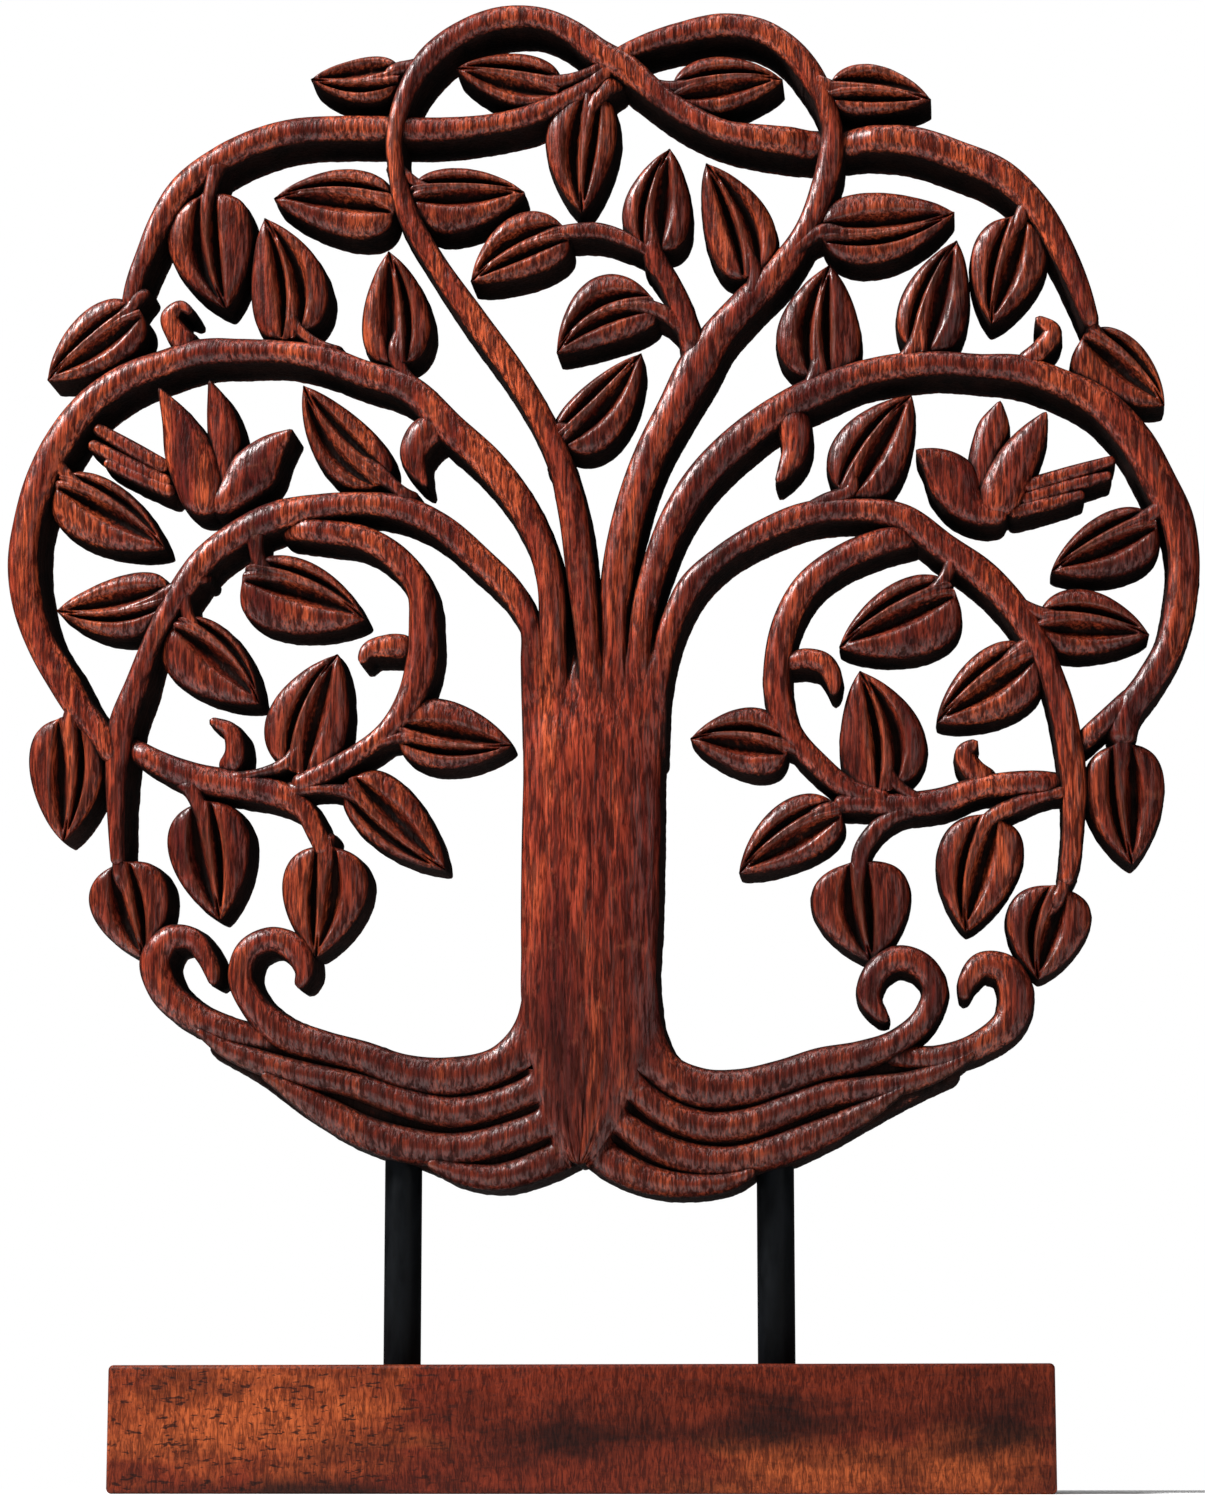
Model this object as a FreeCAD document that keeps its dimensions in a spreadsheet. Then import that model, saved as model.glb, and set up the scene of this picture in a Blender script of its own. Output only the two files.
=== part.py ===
import FreeCAD, Part
import os
from FreeCAD import Vector

# Openwork tree-of-life carving on a two-rod stand.
# World frame: origin at the centre of the base's underside, +X to the viewer's right,
# +Z up, the carved face looks along -Y.  Millimetres.
#
# The carving is drawn in a frame of its own: x from the trunk's axis, z up from the
# underside of the lowest root.  Every carved element is a flat outline, trimmed by the
# elements drawn before it so that neighbours meet face to face, and then given its
# thickness about the panel's middle plane.

DIMENSIONS = {
    "base_length": 245,
    "base_depth": 70,
    "base_height": 33,
    "base_edge": 1.2,
    "rod_diameter": 10,
    "rod_spacing": 100,
    "rod_seat": 20,
    "rod_top": 103,
    "bore_clearance": 0.08,
    "panel_thickness": 22,
    "leaf_thickness": 18,
    "bird_thickness": 20,
    "panel_shift": 1.6,
    "panel_rise": 77,
}

# Smallest scrap of an outline that is kept after trimming, in square millimetres.
SMALLEST_FACE = 8.0

# Strokes: centre line points (x, z, half width) along each root, trunk, bough or twig.
TRUNK = [
    (1, 162, 19), (0.5, 145.5, 20), (0, 123.5, 19), (-0.5, 93.5, 19), (-1, 66.5, 18.5),
    (-1.5, 47.5, 17), (-2, 31.5, 13), (-3, 17, 7.5), (-3.5, 9, 2.5)]

ROOTS = {
    "root_left_1": [[
        (-11.5, 90, 4), (-12, 72, 6), (-12, 57, 6.3), (-15.5, 45, 6), (-24.5, 36.5, 5), (-38, 33, 5.3), (-51.5, 34.5, 4.8),
        (-62, 38.5, 4.3), (-73, 41.5, 4.3), (-84, 45.5, 4.6), (-92, 53, 3.8), (-95.5, 60.5, 3.5),
        (-93.5, 67.5, 3.5), (-87, 70.5, 3.5), (-80.5, 67.5, 3.8), (-78, 61.5, 2.7),
        (-79.5, 57, 1.3)]],
    "root_left_2": [[
        (-84, 42.5, 4), (-99, 46, 4), (-110, 51, 4.3), (-117, 58, 4.3), (-119, 65.5, 4.3),
        (-115, 71, 3.8), (-109.5, 71, 3.2), (-105, 66, 2.7), (-103, 61.5, 2.2),
        (-102.5, 58, 1.1)]],
    "root_left_3": [[
        (-5, 39.5, 4.3), (-12.5, 31.5, 4), (-23, 26.5, 4), (-38, 23.5, 4.3), (-51.5, 26.5, 4),
        (-65, 31, 3.5), (-78.5, 34, 3.5), (-90.5, 37.5, 3.3), (-100, 41.5, 2.4),
        (-107, 46, 1)]],
    "root_left_4": [
        [(-4, 27.5, 4.3), (-11, 21.5, 4.3), (-23, 16.5, 4.3), (-38, 13.5, 4.5),
         (-51, 15, 4.8), (-62, 18.5, 4.5), (-73, 24.5, 4), (-81.5, 29.5, 2.6), (-89, 34, 1)],
        [(-3.5, 15.5, 5.3), (-12.5, 10, 4.3), (-25.5, 6, 3.7), (-36.5, 7.3, 2.9),
         (-44, 10, 1.3)]],
    "root_right_1": [[
        (10.5, 90, 4), (11, 72, 6), (11, 57, 6.4), (13.5, 43.5, 5.9), (19.5, 34, 5.1), (29, 29.5, 5.3), (39.5, 29.5, 5),
        (50.5, 32, 4.8), (61, 35.5, 4.5), (71.5, 37.5, 4.2), (81.5, 41.5, 3.4), (89, 48, 3.4),
        (91.5, 56, 3.5), (88, 61.5, 3.7), (82, 63.5, 3.7), (76.5, 60.5, 3.5), (74, 53.5, 3.2),
        (77, 48.5, 2.1), (79, 46.5, 1.1)]],
    "root_right_2": [[
        (77, 38.5, 3.4), (92.5, 37, 3.4), (103.5, 40.5, 3.7), (111.5, 47, 4.5), (113, 54.5, 4.8),
        (110, 60.5, 4.2), (104, 61.5, 3.5), (100.5, 57.5, 2.7), (99, 52, 1.1)]],
    "root_right_3": [[
        (2.5, 39.5, 4.3), (10, 31, 3.7), (19.5, 23, 4), (31.5, 19, 4.2), (42, 20, 4.2),
        (53, 24, 4), (63.5, 27.5, 3.7), (74, 29, 3.4), (84.5, 30.5, 2.9), (94, 33.8, 2.2),
        (102, 38, 1)]],
    "root_right_4": [
        [(-0.5, 27.5, 3.7), (7, 21, 3.5), (17, 14, 4), (27.5, 10.5, 4.2), (38, 10, 4.2),
         (49, 12.5, 4.5), (59.5, 16.5, 4.2), (68.5, 20.5, 3.4), (77, 25, 2.2),
         (83.5, 29, 0.9)],
        [(-2.5, 17, 5.3), (3.5, 11, 4.8), (15.5, 5, 4), (27.5, 3.5, 3.2), (37, 4.6, 2.4),
         (43.5, 7.2, 1.1)]],
}

# The lower ground between the root strands, which ties them together.
ROOT_WEBS = {
    "root_left_4": [
        (-6, 26, 12), (-25, 20, 16), (-50, 22.5, 11.5), (-70, 30, 10.5), (-90, 38, 5.5),
        (-104, 42.5, 2.5)],
    "root_right_4": [
        (5, 24, 12), (20, 18, 15.5), (45, 19, 10.5), (66, 26, 9.5), (84, 31.5, 6),
        (98, 34.5, 3)],
}

# The two crown boughs cross over the tree's head and each goes on as the far ring.
BOUGHS = {
    "crown_bough_left": [[
        (0, 118, 3), (-1, 151, 3.5), (-3, 168, 4), (-5.5, 187.5, 4), (-9, 201.5, 3.5), (-14, 213.5, 3.5),
        (-20.5, 225, 3.5), (-33, 243, 3.5), (-44, 259.5, 3), (-51.5, 273, 3), (-55, 287, 2.4),
        (-55.5, 295.5, 2.4), (-54, 303.5, 2.6), (-50.5, 312, 3), (-45.5, 319, 3.5),
        (-37, 325.5, 3.5), (-25.5, 329.5, 3.5), (-14.5, 329, 3.3), (-6, 325, 3.5),
        (1.5, 319, 4), (9.5, 314, 4), (16, 308, 3.5), (25.5, 300.5, 3.3), (36, 295, 3.3),
        (48, 292.5, 4), (62, 291, 4.4), (77, 291.5, 4), (88.5, 290.5, 4.4), (101, 286, 4.4),
        (112.5, 280.5, 4.4), (122.5, 270.5, 3.8), (129.5, 257.5, 3.5), (134, 246, 3),
        (137, 236, 2.2)]],
    "crown_bough_right": [[
        (4.5, 116, 4), (5.5, 148, 4.9), (6, 162, 4.6), (8, 177.5, 4.6), (11, 190, 4.6), (16, 204, 4.6),
        (22.5, 216.5, 4.9), (29, 228.5, 5.5), (34, 236.5, 4.7), (41.5, 245, 4.4),
        (51.5, 255, 4.1), (59, 266, 3.3), (64, 278.5, 3.6), (66, 286.5, 3.6), (66.5, 295, 3),
        (64.5, 303, 3), (61, 310.5, 3.6), (55, 318.5, 3.6), (47, 324, 3.6), (36, 326, 3.6),
        (24.5, 324, 3.3), (15.5, 321.5, 2.8), (8, 318, 2.5), (0, 310, 2.5), (-9, 305, 2.8),
        (-17, 301.5, 3.1), (-28.5, 299, 3.1), (-42.5, 298, 3.6), (-56.5, 298.5, 3.9),
        (-70.5, 299, 3.9), (-84.5, 298.5, 3.9), (-96, 295.5, 3.9), (-106, 290.5, 3.9),
        (-115.5, 283, 3.9), (-122, 272.5, 3.3), (-125.5, 264, 2.8), (-128.5, 255.5, 2.5),
        (-130, 248.5, 2.2)]],
    "outer_bough_left": [
        [(-9, 120, 3.5), (-11, 151.5, 3.8), (-11.5, 168, 3.8), (-13.5, 176.5, 3.8), (-17.5, 186, 4.1),
         (-28, 201, 4.4), (-39, 211.5, 4.4), (-51.5, 223.5, 4.1), (-64, 228, 3.9),
         (-75.5, 232.5, 3.9), (-86.5, 234.5, 3.3), (-97.5, 235, 3.6), (-109, 235, 3.9),
         (-120, 232, 3.9), (-130.5, 228, 4.2), (-140, 221.5, 4.2), (-148.5, 210.5, 4.4),
         (-154, 198.5, 4.4), (-157, 187.5, 4.1), (-158, 176.5, 4.4), (-156.5, 165, 4.4),
         (-152.5, 153.5, 4.1), (-146.5, 143.5, 4.4), (-141, 134.5, 3.9),
         (-135.5, 128, 3.4), (-131, 120, 2.8)],
        [(-111, 235, 4.4), (-116, 240.5, 3.3), (-118, 245.5, 2.6), (-115, 248, 1.8),
         (-111.5, 246, 1)],
        [(-40.5, 214, 4.2), (-47.5, 209.5, 4.6), (-49.5, 204.5, 3.9), (-48, 199.5, 2.4),
         (-45.5, 195, 0.6)]],
    "outer_bough_right": [
        [(11.5, 122, 3.5), (13, 151, 3.5), (14.5, 161.5, 3.5), (17.5, 172.5, 3.8), (22, 184, 4.1),
         (29.5, 196, 4.4), (40.5, 207, 4.6), (51.5, 215, 4.4), (62.5, 220.5, 4.4),
         (73.5, 224.5, 3.8), (84.5, 226.5, 3.8), (95.5, 227, 3.5), (106, 226, 3.5),
         (117, 225, 4.1), (127.5, 221, 4.1), (138.5, 215, 4.6), (147.5, 205, 4.9),
         (154, 192.5, 4.9), (158.5, 182.5, 4.6), (160, 174.5, 4.3), (159, 159.5, 4.3),
         (156, 148, 4), (150, 137.5, 4), (144, 129, 4), (142, 120, 3.7)],
        [(147, 135, 3), (138, 127, 2.8), (130, 120, 2.8)],
        [(53, 217, 4.5), (55.5, 209.5, 4.6), (55.5, 203.5, 3.8), (53, 198, 2.4),
         (50.5, 194, 0.7)],
        [(117, 226, 3), (123, 230.5, 2.8), (126, 235, 2.7), (121.5, 239, 1.1)]],
    "inner_bough_left": [[
        (-15, 118, 4), (-16, 146, 3.7), (-17, 155.5, 3), (-20.5, 163, 3.5), (-31.5, 175, 3.8),
        (-42.5, 184.5, 3.8), (-53, 189.5, 3.8), (-64, 191, 3.3), (-75, 190.5, 3.6),
        (-87.5, 188, 4.4), (-97.5, 183.5, 4.1), (-107.5, 176, 3.8), (-114, 167, 3.6),
        (-119.5, 157.5, 2.7), (-122.5, 150.5, 2.7), (-125.5, 141.5, 3.3), (-129.5, 130, 3.8),
        (-130.5, 118.5, 3.3), (-130.5, 109, 2.7), (-130, 98, 2.2), (-129.5, 91, 1.9)]],
    "inner_bough_right": [[
        (15.5, 116, 4), (18, 144, 3.6), (21.5, 155.5, 3.3), (27, 166.5, 3.5), (35.5, 174.5, 3),
        (46.5, 181, 3.3), (58, 185.5, 3.5), (71, 186.5, 3.3), (84, 184.5, 3.8),
        (96, 175.5, 4.1), (106.5, 167.5, 4.3), (114.5, 158.5, 4), (119.5, 150.5, 3.8),
        (123, 143, 3.2), (126, 133.5, 3.5), (128.5, 120, 3.7), (129.5, 109.5, 3.5),
        (129, 98.5, 2.9), (128, 89, 2.7), (126.5, 82.5, 2.1)]],
    "spiral_bough_left": [
        [(-87, 185, 3.3), (-75, 183.5, 3.6), (-62.5, 181, 3.6), (-53.5, 175, 3.8),
         (-47.5, 166.5, 3.8), (-46.5, 157, 4.1), (-47, 146.5, 4.4), (-50, 136.5, 3.8),
         (-56, 127.5, 3), (-64.5, 121, 2.7), (-73.5, 116, 3), (-82, 112, 3)],
        [(-49, 150.5, 3.6), (-56, 151, 3.4), (-61.5, 149.5, 2.5), (-63.5, 146, 1.1)]],
    "spiral_bough_right": [
        [(90.5, 180, 3.2), (78.5, 177.5, 3.8), (67.5, 173, 3.8), (58.5, 166, 3.8),
         (53, 156.5, 3.8), (50.5, 146, 3.8), (50.5, 135, 3.8), (54, 125, 3.2),
         (61, 116.5, 3.2), (69.5, 109.5, 3), (80.5, 106, 2.7)],
        [(51.5, 144, 2.2), (58, 145.5, 3), (63, 144, 3), (65.5, 139, 2.2), (65.5, 135, 0.8)]],
    "twig_left": [
        [(-129.5, 126, 2.7), (-121, 120.5, 3.3), (-109.5, 115.5, 4.1), (-97, 113, 4.1),
         (-85, 110, 3.8), (-78.5, 105.5, 3), (-75, 99, 2.7), (-72.5, 93, 2.2)],
        [(-101, 116, 3.6), (-98, 122, 2.9), (-99, 127.5, 2.5), (-105, 131, 1.1)]],
    "twig_right": [
        [(129, 110, 3.5), (115, 110.5, 3.5), (104.5, 109.5, 3.2), (93.5, 106, 3.7),
         (83, 105, 3.5), (72, 105.5, 2.7), (65, 105.5, 2.4)],
        [(108.5, 110, 3.8), (102.5, 114.5, 3.3), (100.5, 119, 2.7), (104, 122, 1.1)]],
    "centre_twig": [[
        (28, 227.5, 3.6), (27, 236, 3.3), (24.5, 244.5, 3.3), (21, 252.5, 3),
        (17, 259.5, 3), (16, 264.5, 2.2)]],
}

BIRDS = {
    "bird_left": [
        (-120.5, 224.5), (-111.5, 217), (-107.5, 212), (-105, 206), (-107.5, 215),
        (-106.5, 227), (-100, 217.5), (-98.5, 209), (-102.5, 199), (-98, 207.5),
        (-93, 210.5), (-83, 212), (-87, 200), (-92, 192), (-104, 187.5), (-111, 191),
        (-118.5, 196), (-133.5, 202), (-141.5, 210), (-139, 216), (-120.5, 206)],
    "bird_right": [
        (89, 202), (96.5, 202.5), (103, 199), (105.5, 193.5), (103.5, 200), (106, 209),
        (112, 216), (116.5, 208), (124.5, 212), (125, 203), (123.5, 198.5), (143, 199.5),
        (140.5, 190.5), (132.5, 186), (116.5, 182.5), (103, 181.5), (96, 186.5),
        (91.5, 195)],
}

# Leaves: node, base point, tip point, widths to the left and right of the way from base
# to tip, bow of the midrib, and the stem that ties the leaf to its bough.  Two leaves
# that grow side by side share a node as two solids.
LEAVES = [
    ("leaf_pair_left_1", (-54, 314), (-79.5, 313.5), 7, 7.2, 0.8, [(-48.5, 316.5, 2.8), (-56, 315, 2)]),
    ("leaf_pair_left_1", (-9, 309), (-38.5, 315.5), 8.3, 7.5, -0.8, [(5, 315.5, 2.8), (-9, 309.5, 2.2)]),
    ("leaf_left_1", (0, 307), (-3, 272.5), 8.6, 11.6, -0.8, [(5.5, 309.5, 2.8), (2, 305.5, 2)]),
    ("leaf_left_2", (-108, 281), (-102.5, 247.5), 12.2, 12.2, -1.7, [(-105.5, 289.5, 3.4), (-107.5, 281, 1.8)]),
    ("leaf_left_3", (-84.5, 238), (-92, 273.5), 10.5, 11.6, -2.2, [(-72.5, 233.5, 3.3), (-83, 241.5, 1.8)]),
    ("leaf_pair_left_2", (-55, 276), (-89.5, 279), 11.8, 8.3, -2.2, [(-49, 272, 2.8), (-56, 277, 2.2)]),
    ("leaf_pair_left_2", (-51, 279.5), (-19, 279), 6.7, 12.4, 1.1, [(-55, 287, 2.2), (-49, 283, 1.8)]),
    ("leaf_left_4", (-7, 267), (-34, 253.5), 8.3, 10.5, -1.7,
     [(16.5, 260, 1.9), (9, 264.5, 2.2), (2, 267, 2.4), (-7, 267, 2.2)]),
    ("leaf_left_5", (-54, 230), (-57, 263), 10.5, 9.1, -1.1, [(-46, 220.5, 3.3), (-55, 233.5, 1.8)]),
    ("leaf_left_6", (-127, 248), (-152.5, 228), 10, 8.9, -1.1, [(-127, 252, 2.4), (-129, 245, 2)]),
    ("leaf_pair_left_3", (17.5, 246), (-10, 232.5), 8.2, 12, -3.3, [(25, 238, 2), (20, 243, 2.2), (13, 245.5, 2)]),
    ("leaf_pair_left_3", (-10, 207), (13.5, 232), 6, 11.2, 0, [(-10, 201, 2.2), (-9.5, 211, 1.6)]),
    ("leaf_left_7", (-57.5, 197), (-80.5, 225), 9.3, 8.2, 1.6, [(-51, 192.5, 2.4), (-60, 200, 2.4)]),
    ("leaf_left_8", (-148.5, 199.5), (-118.5, 179.5), 6.4, 12.6, 1.7, [(-151, 207.5, 3.3), (-146, 198, 1.9)]),
    ("leaf_left_9", (-116.5, 166.5), (-148.5, 162.5), 9.1, 9.3, 1.6, [(-108.5, 172, 3.3), (-118, 166.5, 1.9)]),
    ("leaf_pair_left_4", (-96, 172.5), (-62.5, 158.5), 7.4, 14.4, 2.2, [(-93.5, 183.5, 3.3), (-92, 170, 2.4)]),
    ("leaf_pair_left_4", (-114.5, 159), (-91.5, 135.5), 6, 14, 2.2, [(-113, 169, 3.3), (-113, 155, 1.9)]),
    ("leaf_left_10", (-81, 116), (-70, 149), 11.4, 11.9, 2.2, [(-99, 114.5, 2.4), (-80, 119, 2.2)]),
    ("leaf_pair_left_5", (-53.5, 127), (-22, 123), 11.8, 7.9, -1.1, [(-64, 121.5, 2.4), (-51, 127.5, 1.9)]),
    ("leaf_pair_left_5", (-67, 113.5), (-40, 89), 10.8, 7, -1.1, [(-82, 111, 2.6), (-64, 112, 2.2)]),
    ("leaf_pair_left_6", (-107, 108.5), (-101.5, 76), 11.4, 11.4, 0, [(-111, 114, 3.3), (-106.5, 105, 2.2)]),
    ("leaf_pair_left_6", (-72.5, 96), (-75, 65.5), 12.4, 11.4, 0, [(-72.5, 97, 2.2), (-72.5, 93, 2.2)]),
    ("leaf_left_11", (-129, 92), (-122, 65.5), 10.9, 11.4, 0, [(-129.5, 96, 2), (-129, 88, 1.9)]),
    ("leaf_left_12", (-144.5, 132.5), (-145, 98), 9.8, 11.8, 1.1, [(-142, 137, 3.6), (-144, 129, 2.4)]),
    ("leaf_pair_right_1", (22, 306.5), (53, 309.5), 8, 9.2, 1.7, [(15, 309.5, 2.8), (23, 305.5, 1.9)]),
    ("leaf_pair_right_1", (65.5, 306), (94, 302.5), 8.3, 7.2, 1.1, [(61, 309.5, 2.8), (68, 306, 2.2)]),
    ("leaf_pair_right_2", (16.5, 261), (21.5, 290.5), 8.8, 10.5, 1.7, [(17, 258, 2.4), (16.5, 265, 2)]),
    ("leaf_pair_right_2", (44, 253), (31.5, 286), 9.6, 9.9, -1.6, [(44, 247, 2.7), (44.5, 256, 1.9)]),
    ("leaf_right_1", (63, 265), (100, 270), 11.5, 9.6, -1.6, [(55, 259.5, 2.7), (65, 265.5, 2.2)]),
    ("leaf_right_2", (63, 223), (65.5, 256), 12, 11.5, 1.6, [(57, 217, 3.3), (63, 226, 2.2)]),
    ("leaf_right_3", (89.5, 230.5), (100.5, 262), 8.2, 11.2, 1.6, [(83, 226, 2.7), (89, 233, 2.4)]),
    ("leaf_right_4", (117.5, 268), (109.5, 238), 11.5, 9.3, -1.1, [(120.5, 274.5, 3.3), (117, 266, 1.9)]),
    ("leaf_right_5", (135.5, 235), (156, 214), 6.5, 13, 1.6, [(134.5, 243, 2.4), (137, 232, 1.9)]),
    ("leaf_right_6", (69, 191), (87.5, 218.5), 9.8, 11.4, 1.6, [(54, 185, 2.4), (64, 189, 2.4), (71, 193, 1.9)]),
    ("leaf_right_7", (152.5, 182.5), (124.5, 168.5), 11.3, 7, -1.1, [(158, 188.5, 3.2), (149, 182, 2.2)]),
    ("leaf_right_8", (120.5, 155), (150.5, 150.5), 9.1, 9.7, 1.6, [(109, 165, 3.3), (122, 155.5, 2.2)]),
    ("leaf_pair_right_3", (98, 164.5), (67, 148.5), 14.5, 7.6, -1.6, [(98.5, 174, 2.7), (96, 162, 2.2)]),
    ("leaf_pair_right_3", (119, 147), (93, 127.5), 12.4, 7.5, -1.1, [(122, 151.5, 2.8), (115, 146, 2.4)]),
    ("leaf_right_9", (79, 108.5), (72.5, 142), 11.8, 11.8, -2.1, [(89.5, 105.5, 2.6), (79, 111, 1.9)]),
    ("leaf_pair_right_4", (53, 121), (26.5, 124), 9.7, 9.1, -1.6, [(57, 120, 2.4), (50, 122.5, 1.6)]),
    ("leaf_pair_right_4", (66.5, 104.5), (39.5, 87), 9.1, 8.6, -1.6, [(72, 105.5, 2.4), (62, 103.5, 2)]),
    ("leaf_right_10", (71.5, 90), (75, 62.5), 13.4, 13.4, -0.8,
     [(84.5, 103.5, 2.7), (77, 99, 2.4), (72.5, 92.5, 2.4), (71.5, 86, 2)]),
    ("leaf_right_11", (107, 102), (100, 70.5), 12.3, 10.4, -1.6, [(127, 108, 2), (114, 104.5, 2.3), (106, 100, 2)]),
    ("leaf_right_12", (125, 82.5), (119, 57.5), 11.7, 10.6, -1.6, [(127, 85, 2.2), (124, 78, 1.9)]),
    ("leaf_right_13", (142.5, 121), (144.5, 88), 11.2, 10.7, -0.8, [(143, 126, 3.6), (142.5, 117, 2.2)]),
]

# Places along a leaf, from base to tip, where its outline is worked out.
LEAF_STATIONS = (0.04, 0.14, 0.3, 0.5, 0.7, 0.87)

# A leaf's fullness at a share u of its length: peak * u ** blunt * (1 - u) ** sharp.
LEAF_PEAK = 2.19
LEAF_BLUNT = 0.42
LEAF_SHARP = 0.8

# The roots that stand over a rod, and the side of the stand that the rod is on.
BORED_ROOTS = {
    "root_left_3": "-",
    "root_left_4": "-",
    "root_right_1": "+",
    "root_right_3": "+",
    "root_right_4": "+",
}


def make_sheet(doc):
    """The driving dimensions, one row each: name, value."""
    sheet = doc.addObject("Spreadsheet::Sheet", "Dimensions")
    for row, (alias, value) in enumerate(DIMENSIONS.items(), start=1):
        sheet.set(f"A{row}", alias)
        sheet.set(f"B{row}", str(value))
        sheet.setAlias(f"B{row}", alias)
    doc.recompute()
    return sheet


def bind(part, **bindings):
    """Bind properties of a part to expressions in the sheet's aliases."""
    for name, expression in bindings.items():
        part.setExpression(name.replace("__", "."), expression)


def spline(points):
    curve = Part.BSplineCurve()
    curve.interpolate(points)
    return curve


def face_between(left, right):
    """Flat face between two open splines, closed by straight ends where they part."""
    edges = [spline(left).toShape()]
    if (left[-1] - right[-1]).Length > 1e-6:
        edges.append(Part.makeLine(left[-1], right[-1]))
    edges.append(spline(list(reversed(right))).toShape())
    if (left[0] - right[0]).Length > 1e-6:
        edges.append(Part.makeLine(right[0], left[0]))
    return Part.Face(Part.Wire(Part.__sortEdges__(edges)))


def side_of(direction):
    """Unit vector to the left of a direction, seen from the carved side."""
    flat = Vector(-direction.z, 0, direction.x)
    return flat.normalize()


def stroke_face(stroke):
    """Ribbon about a smooth centre line, as wide at each point as the stroke says."""
    centres = [Vector(x, 0, z) for x, z, half_width in stroke]
    centre_line = spline(centres)
    left = []
    right = []
    for centre, (x, z, half_width) in zip(centres, stroke):
        side = side_of(centre_line.tangent(centre_line.parameter(centre))[0])
        left.append(centre + side * half_width)
        right.append(centre - side * half_width)
    return face_between(left, right)


def leaf_face(base, tip, left_width, right_width, bow):
    """Pointed oval: blunt where the stem comes in, drawn out to a point at the tip."""
    foot = Vector(base[0], 0, base[1])
    point = Vector(tip[0], 0, tip[1])
    side = side_of(point - foot)
    middle = (foot + point) * 0.5 + side * (2 * bow)
    left = [foot]
    right = [foot]
    for place in LEAF_STATIONS:
        rib = foot * (1 - place) ** 2 + middle * (2 * place * (1 - place)) + point * place ** 2
        fullness = LEAF_PEAK * place ** LEAF_BLUNT * (1 - place) ** LEAF_SHARP
        left.append(rib + side * (left_width * fullness))
        right.append(rib - side * (right_width * fullness))
    return face_between(left + [point], right + [point])


def polygon_face(points):
    corners = [Vector(x, 0, z) for x, z in points]
    return Part.Face(Part.makePolygon(corners + corners[:1]))


def joined(faces):
    """One flat shape from overlapping faces."""
    shape = faces[0]
    if len(faces) > 1:
        shape = shape.fuse(faces[1:]).removeSplitter()
    return shape


def trimmed(shape, drawn):
    """The faces of a flat shape that lie outside everything drawn before it."""
    near = [other for other in drawn if other.BoundBox.intersect(shape.BoundBox)]
    if near:
        shape = shape.cut(near)
    return [face for face in shape.Faces if face.Area > SMALLEST_FACE]


def carved_node(doc, name, faces, thickness, drawn):
    """A carved element: its trimmed outlines, thickened about the panel's middle plane."""
    drawn.extend(faces)
    outline = doc.addObject("Part::Feature", name + "_outline")
    outline.Shape = Part.makeCompound(faces)
    solid = doc.addObject("Part::Extrusion", name + "_solid")
    solid.Base = outline
    solid.DirMode = "Custom"
    solid.Dir = Vector(0, 1, 0)
    solid.Solid = True
    solid.Symmetric = True
    bind(solid, LengthFwd=f"Dimensions.{thickness}",
         Placement__Base__x="Dimensions.panel_shift",
         Placement__Base__z="Dimensions.panel_rise")
    return solid


def rod_x(sign):
    return f"{sign} Dimensions.rod_spacing / 2"


def make_base(doc):
    """The block, with every edge eased but those of its underside, and its two rod seats."""
    block = doc.addObject("Part::Box", "base_blank")
    bind(block, Length="Dimensions.base_length", Width="Dimensions.base_depth",
         Height="Dimensions.base_height", Placement__Base__x="-Dimensions.base_length / 2",
         Placement__Base__y="-Dimensions.base_depth / 2")
    doc.recompute()
    eased = doc.addObject("Part::Chamfer", "base_eased")
    eased.Base = block
    edge = float(doc.Dimensions.base_edge)
    height = float(doc.Dimensions.base_height)
    eased.Edges = [(number, edge, edge) for number, side in enumerate(block.Shape.Edges, start=1)
                   if side.CenterOfMass.z > height / 4]
    seats = []
    for sign in ("-", "+"):
        seat = doc.addObject("Part::Cylinder", "rod_seat")
        bind(seat, Radius="Dimensions.rod_diameter / 2", Height="Dimensions.rod_seat + 1",
             Placement__Base__x=rod_x(sign),
             Placement__Base__z="Dimensions.base_height - Dimensions.rod_seat")
        seats.append(seat)
    both = doc.addObject("Part::MultiFuse", "rod_seats")
    both.Shapes = seats
    base = doc.addObject("Part::Cut", "base")
    base.Base = eased
    base.Tool = both
    return base


def make_rod(doc, sign):
    """A rod that stands on the bottom of its seat."""
    rod = doc.addObject("Part::Cylinder", "rod")
    bind(rod, Radius="Dimensions.rod_diameter / 2",
         Height="Dimensions.rod_top - Dimensions.base_height + Dimensions.rod_seat",
         Placement__Base__x=rod_x(sign),
         Placement__Base__z="Dimensions.base_height - Dimensions.rod_seat")
    return rod


def make_bore(doc, sign):
    """Blind bore that drops over a rod; its end rests on the rod's top."""
    bore = doc.addObject("Part::Cylinder", "rod_bore")
    bind(bore, Radius="Dimensions.rod_diameter / 2 + Dimensions.bore_clearance",
         Height="Dimensions.rod_top - Dimensions.base_height", Placement__Base__x=rod_x(sign),
         Placement__Base__z="Dimensions.base_height")
    return bore


def drop_over_rod(doc, name, solid, sign):
    """The same element with the bore cut out of it."""
    bored = doc.addObject("Part::Cut", name + "_bored")
    bored.Base = solid
    bored.Tool = make_bore(doc, sign)
    return bored


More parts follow.
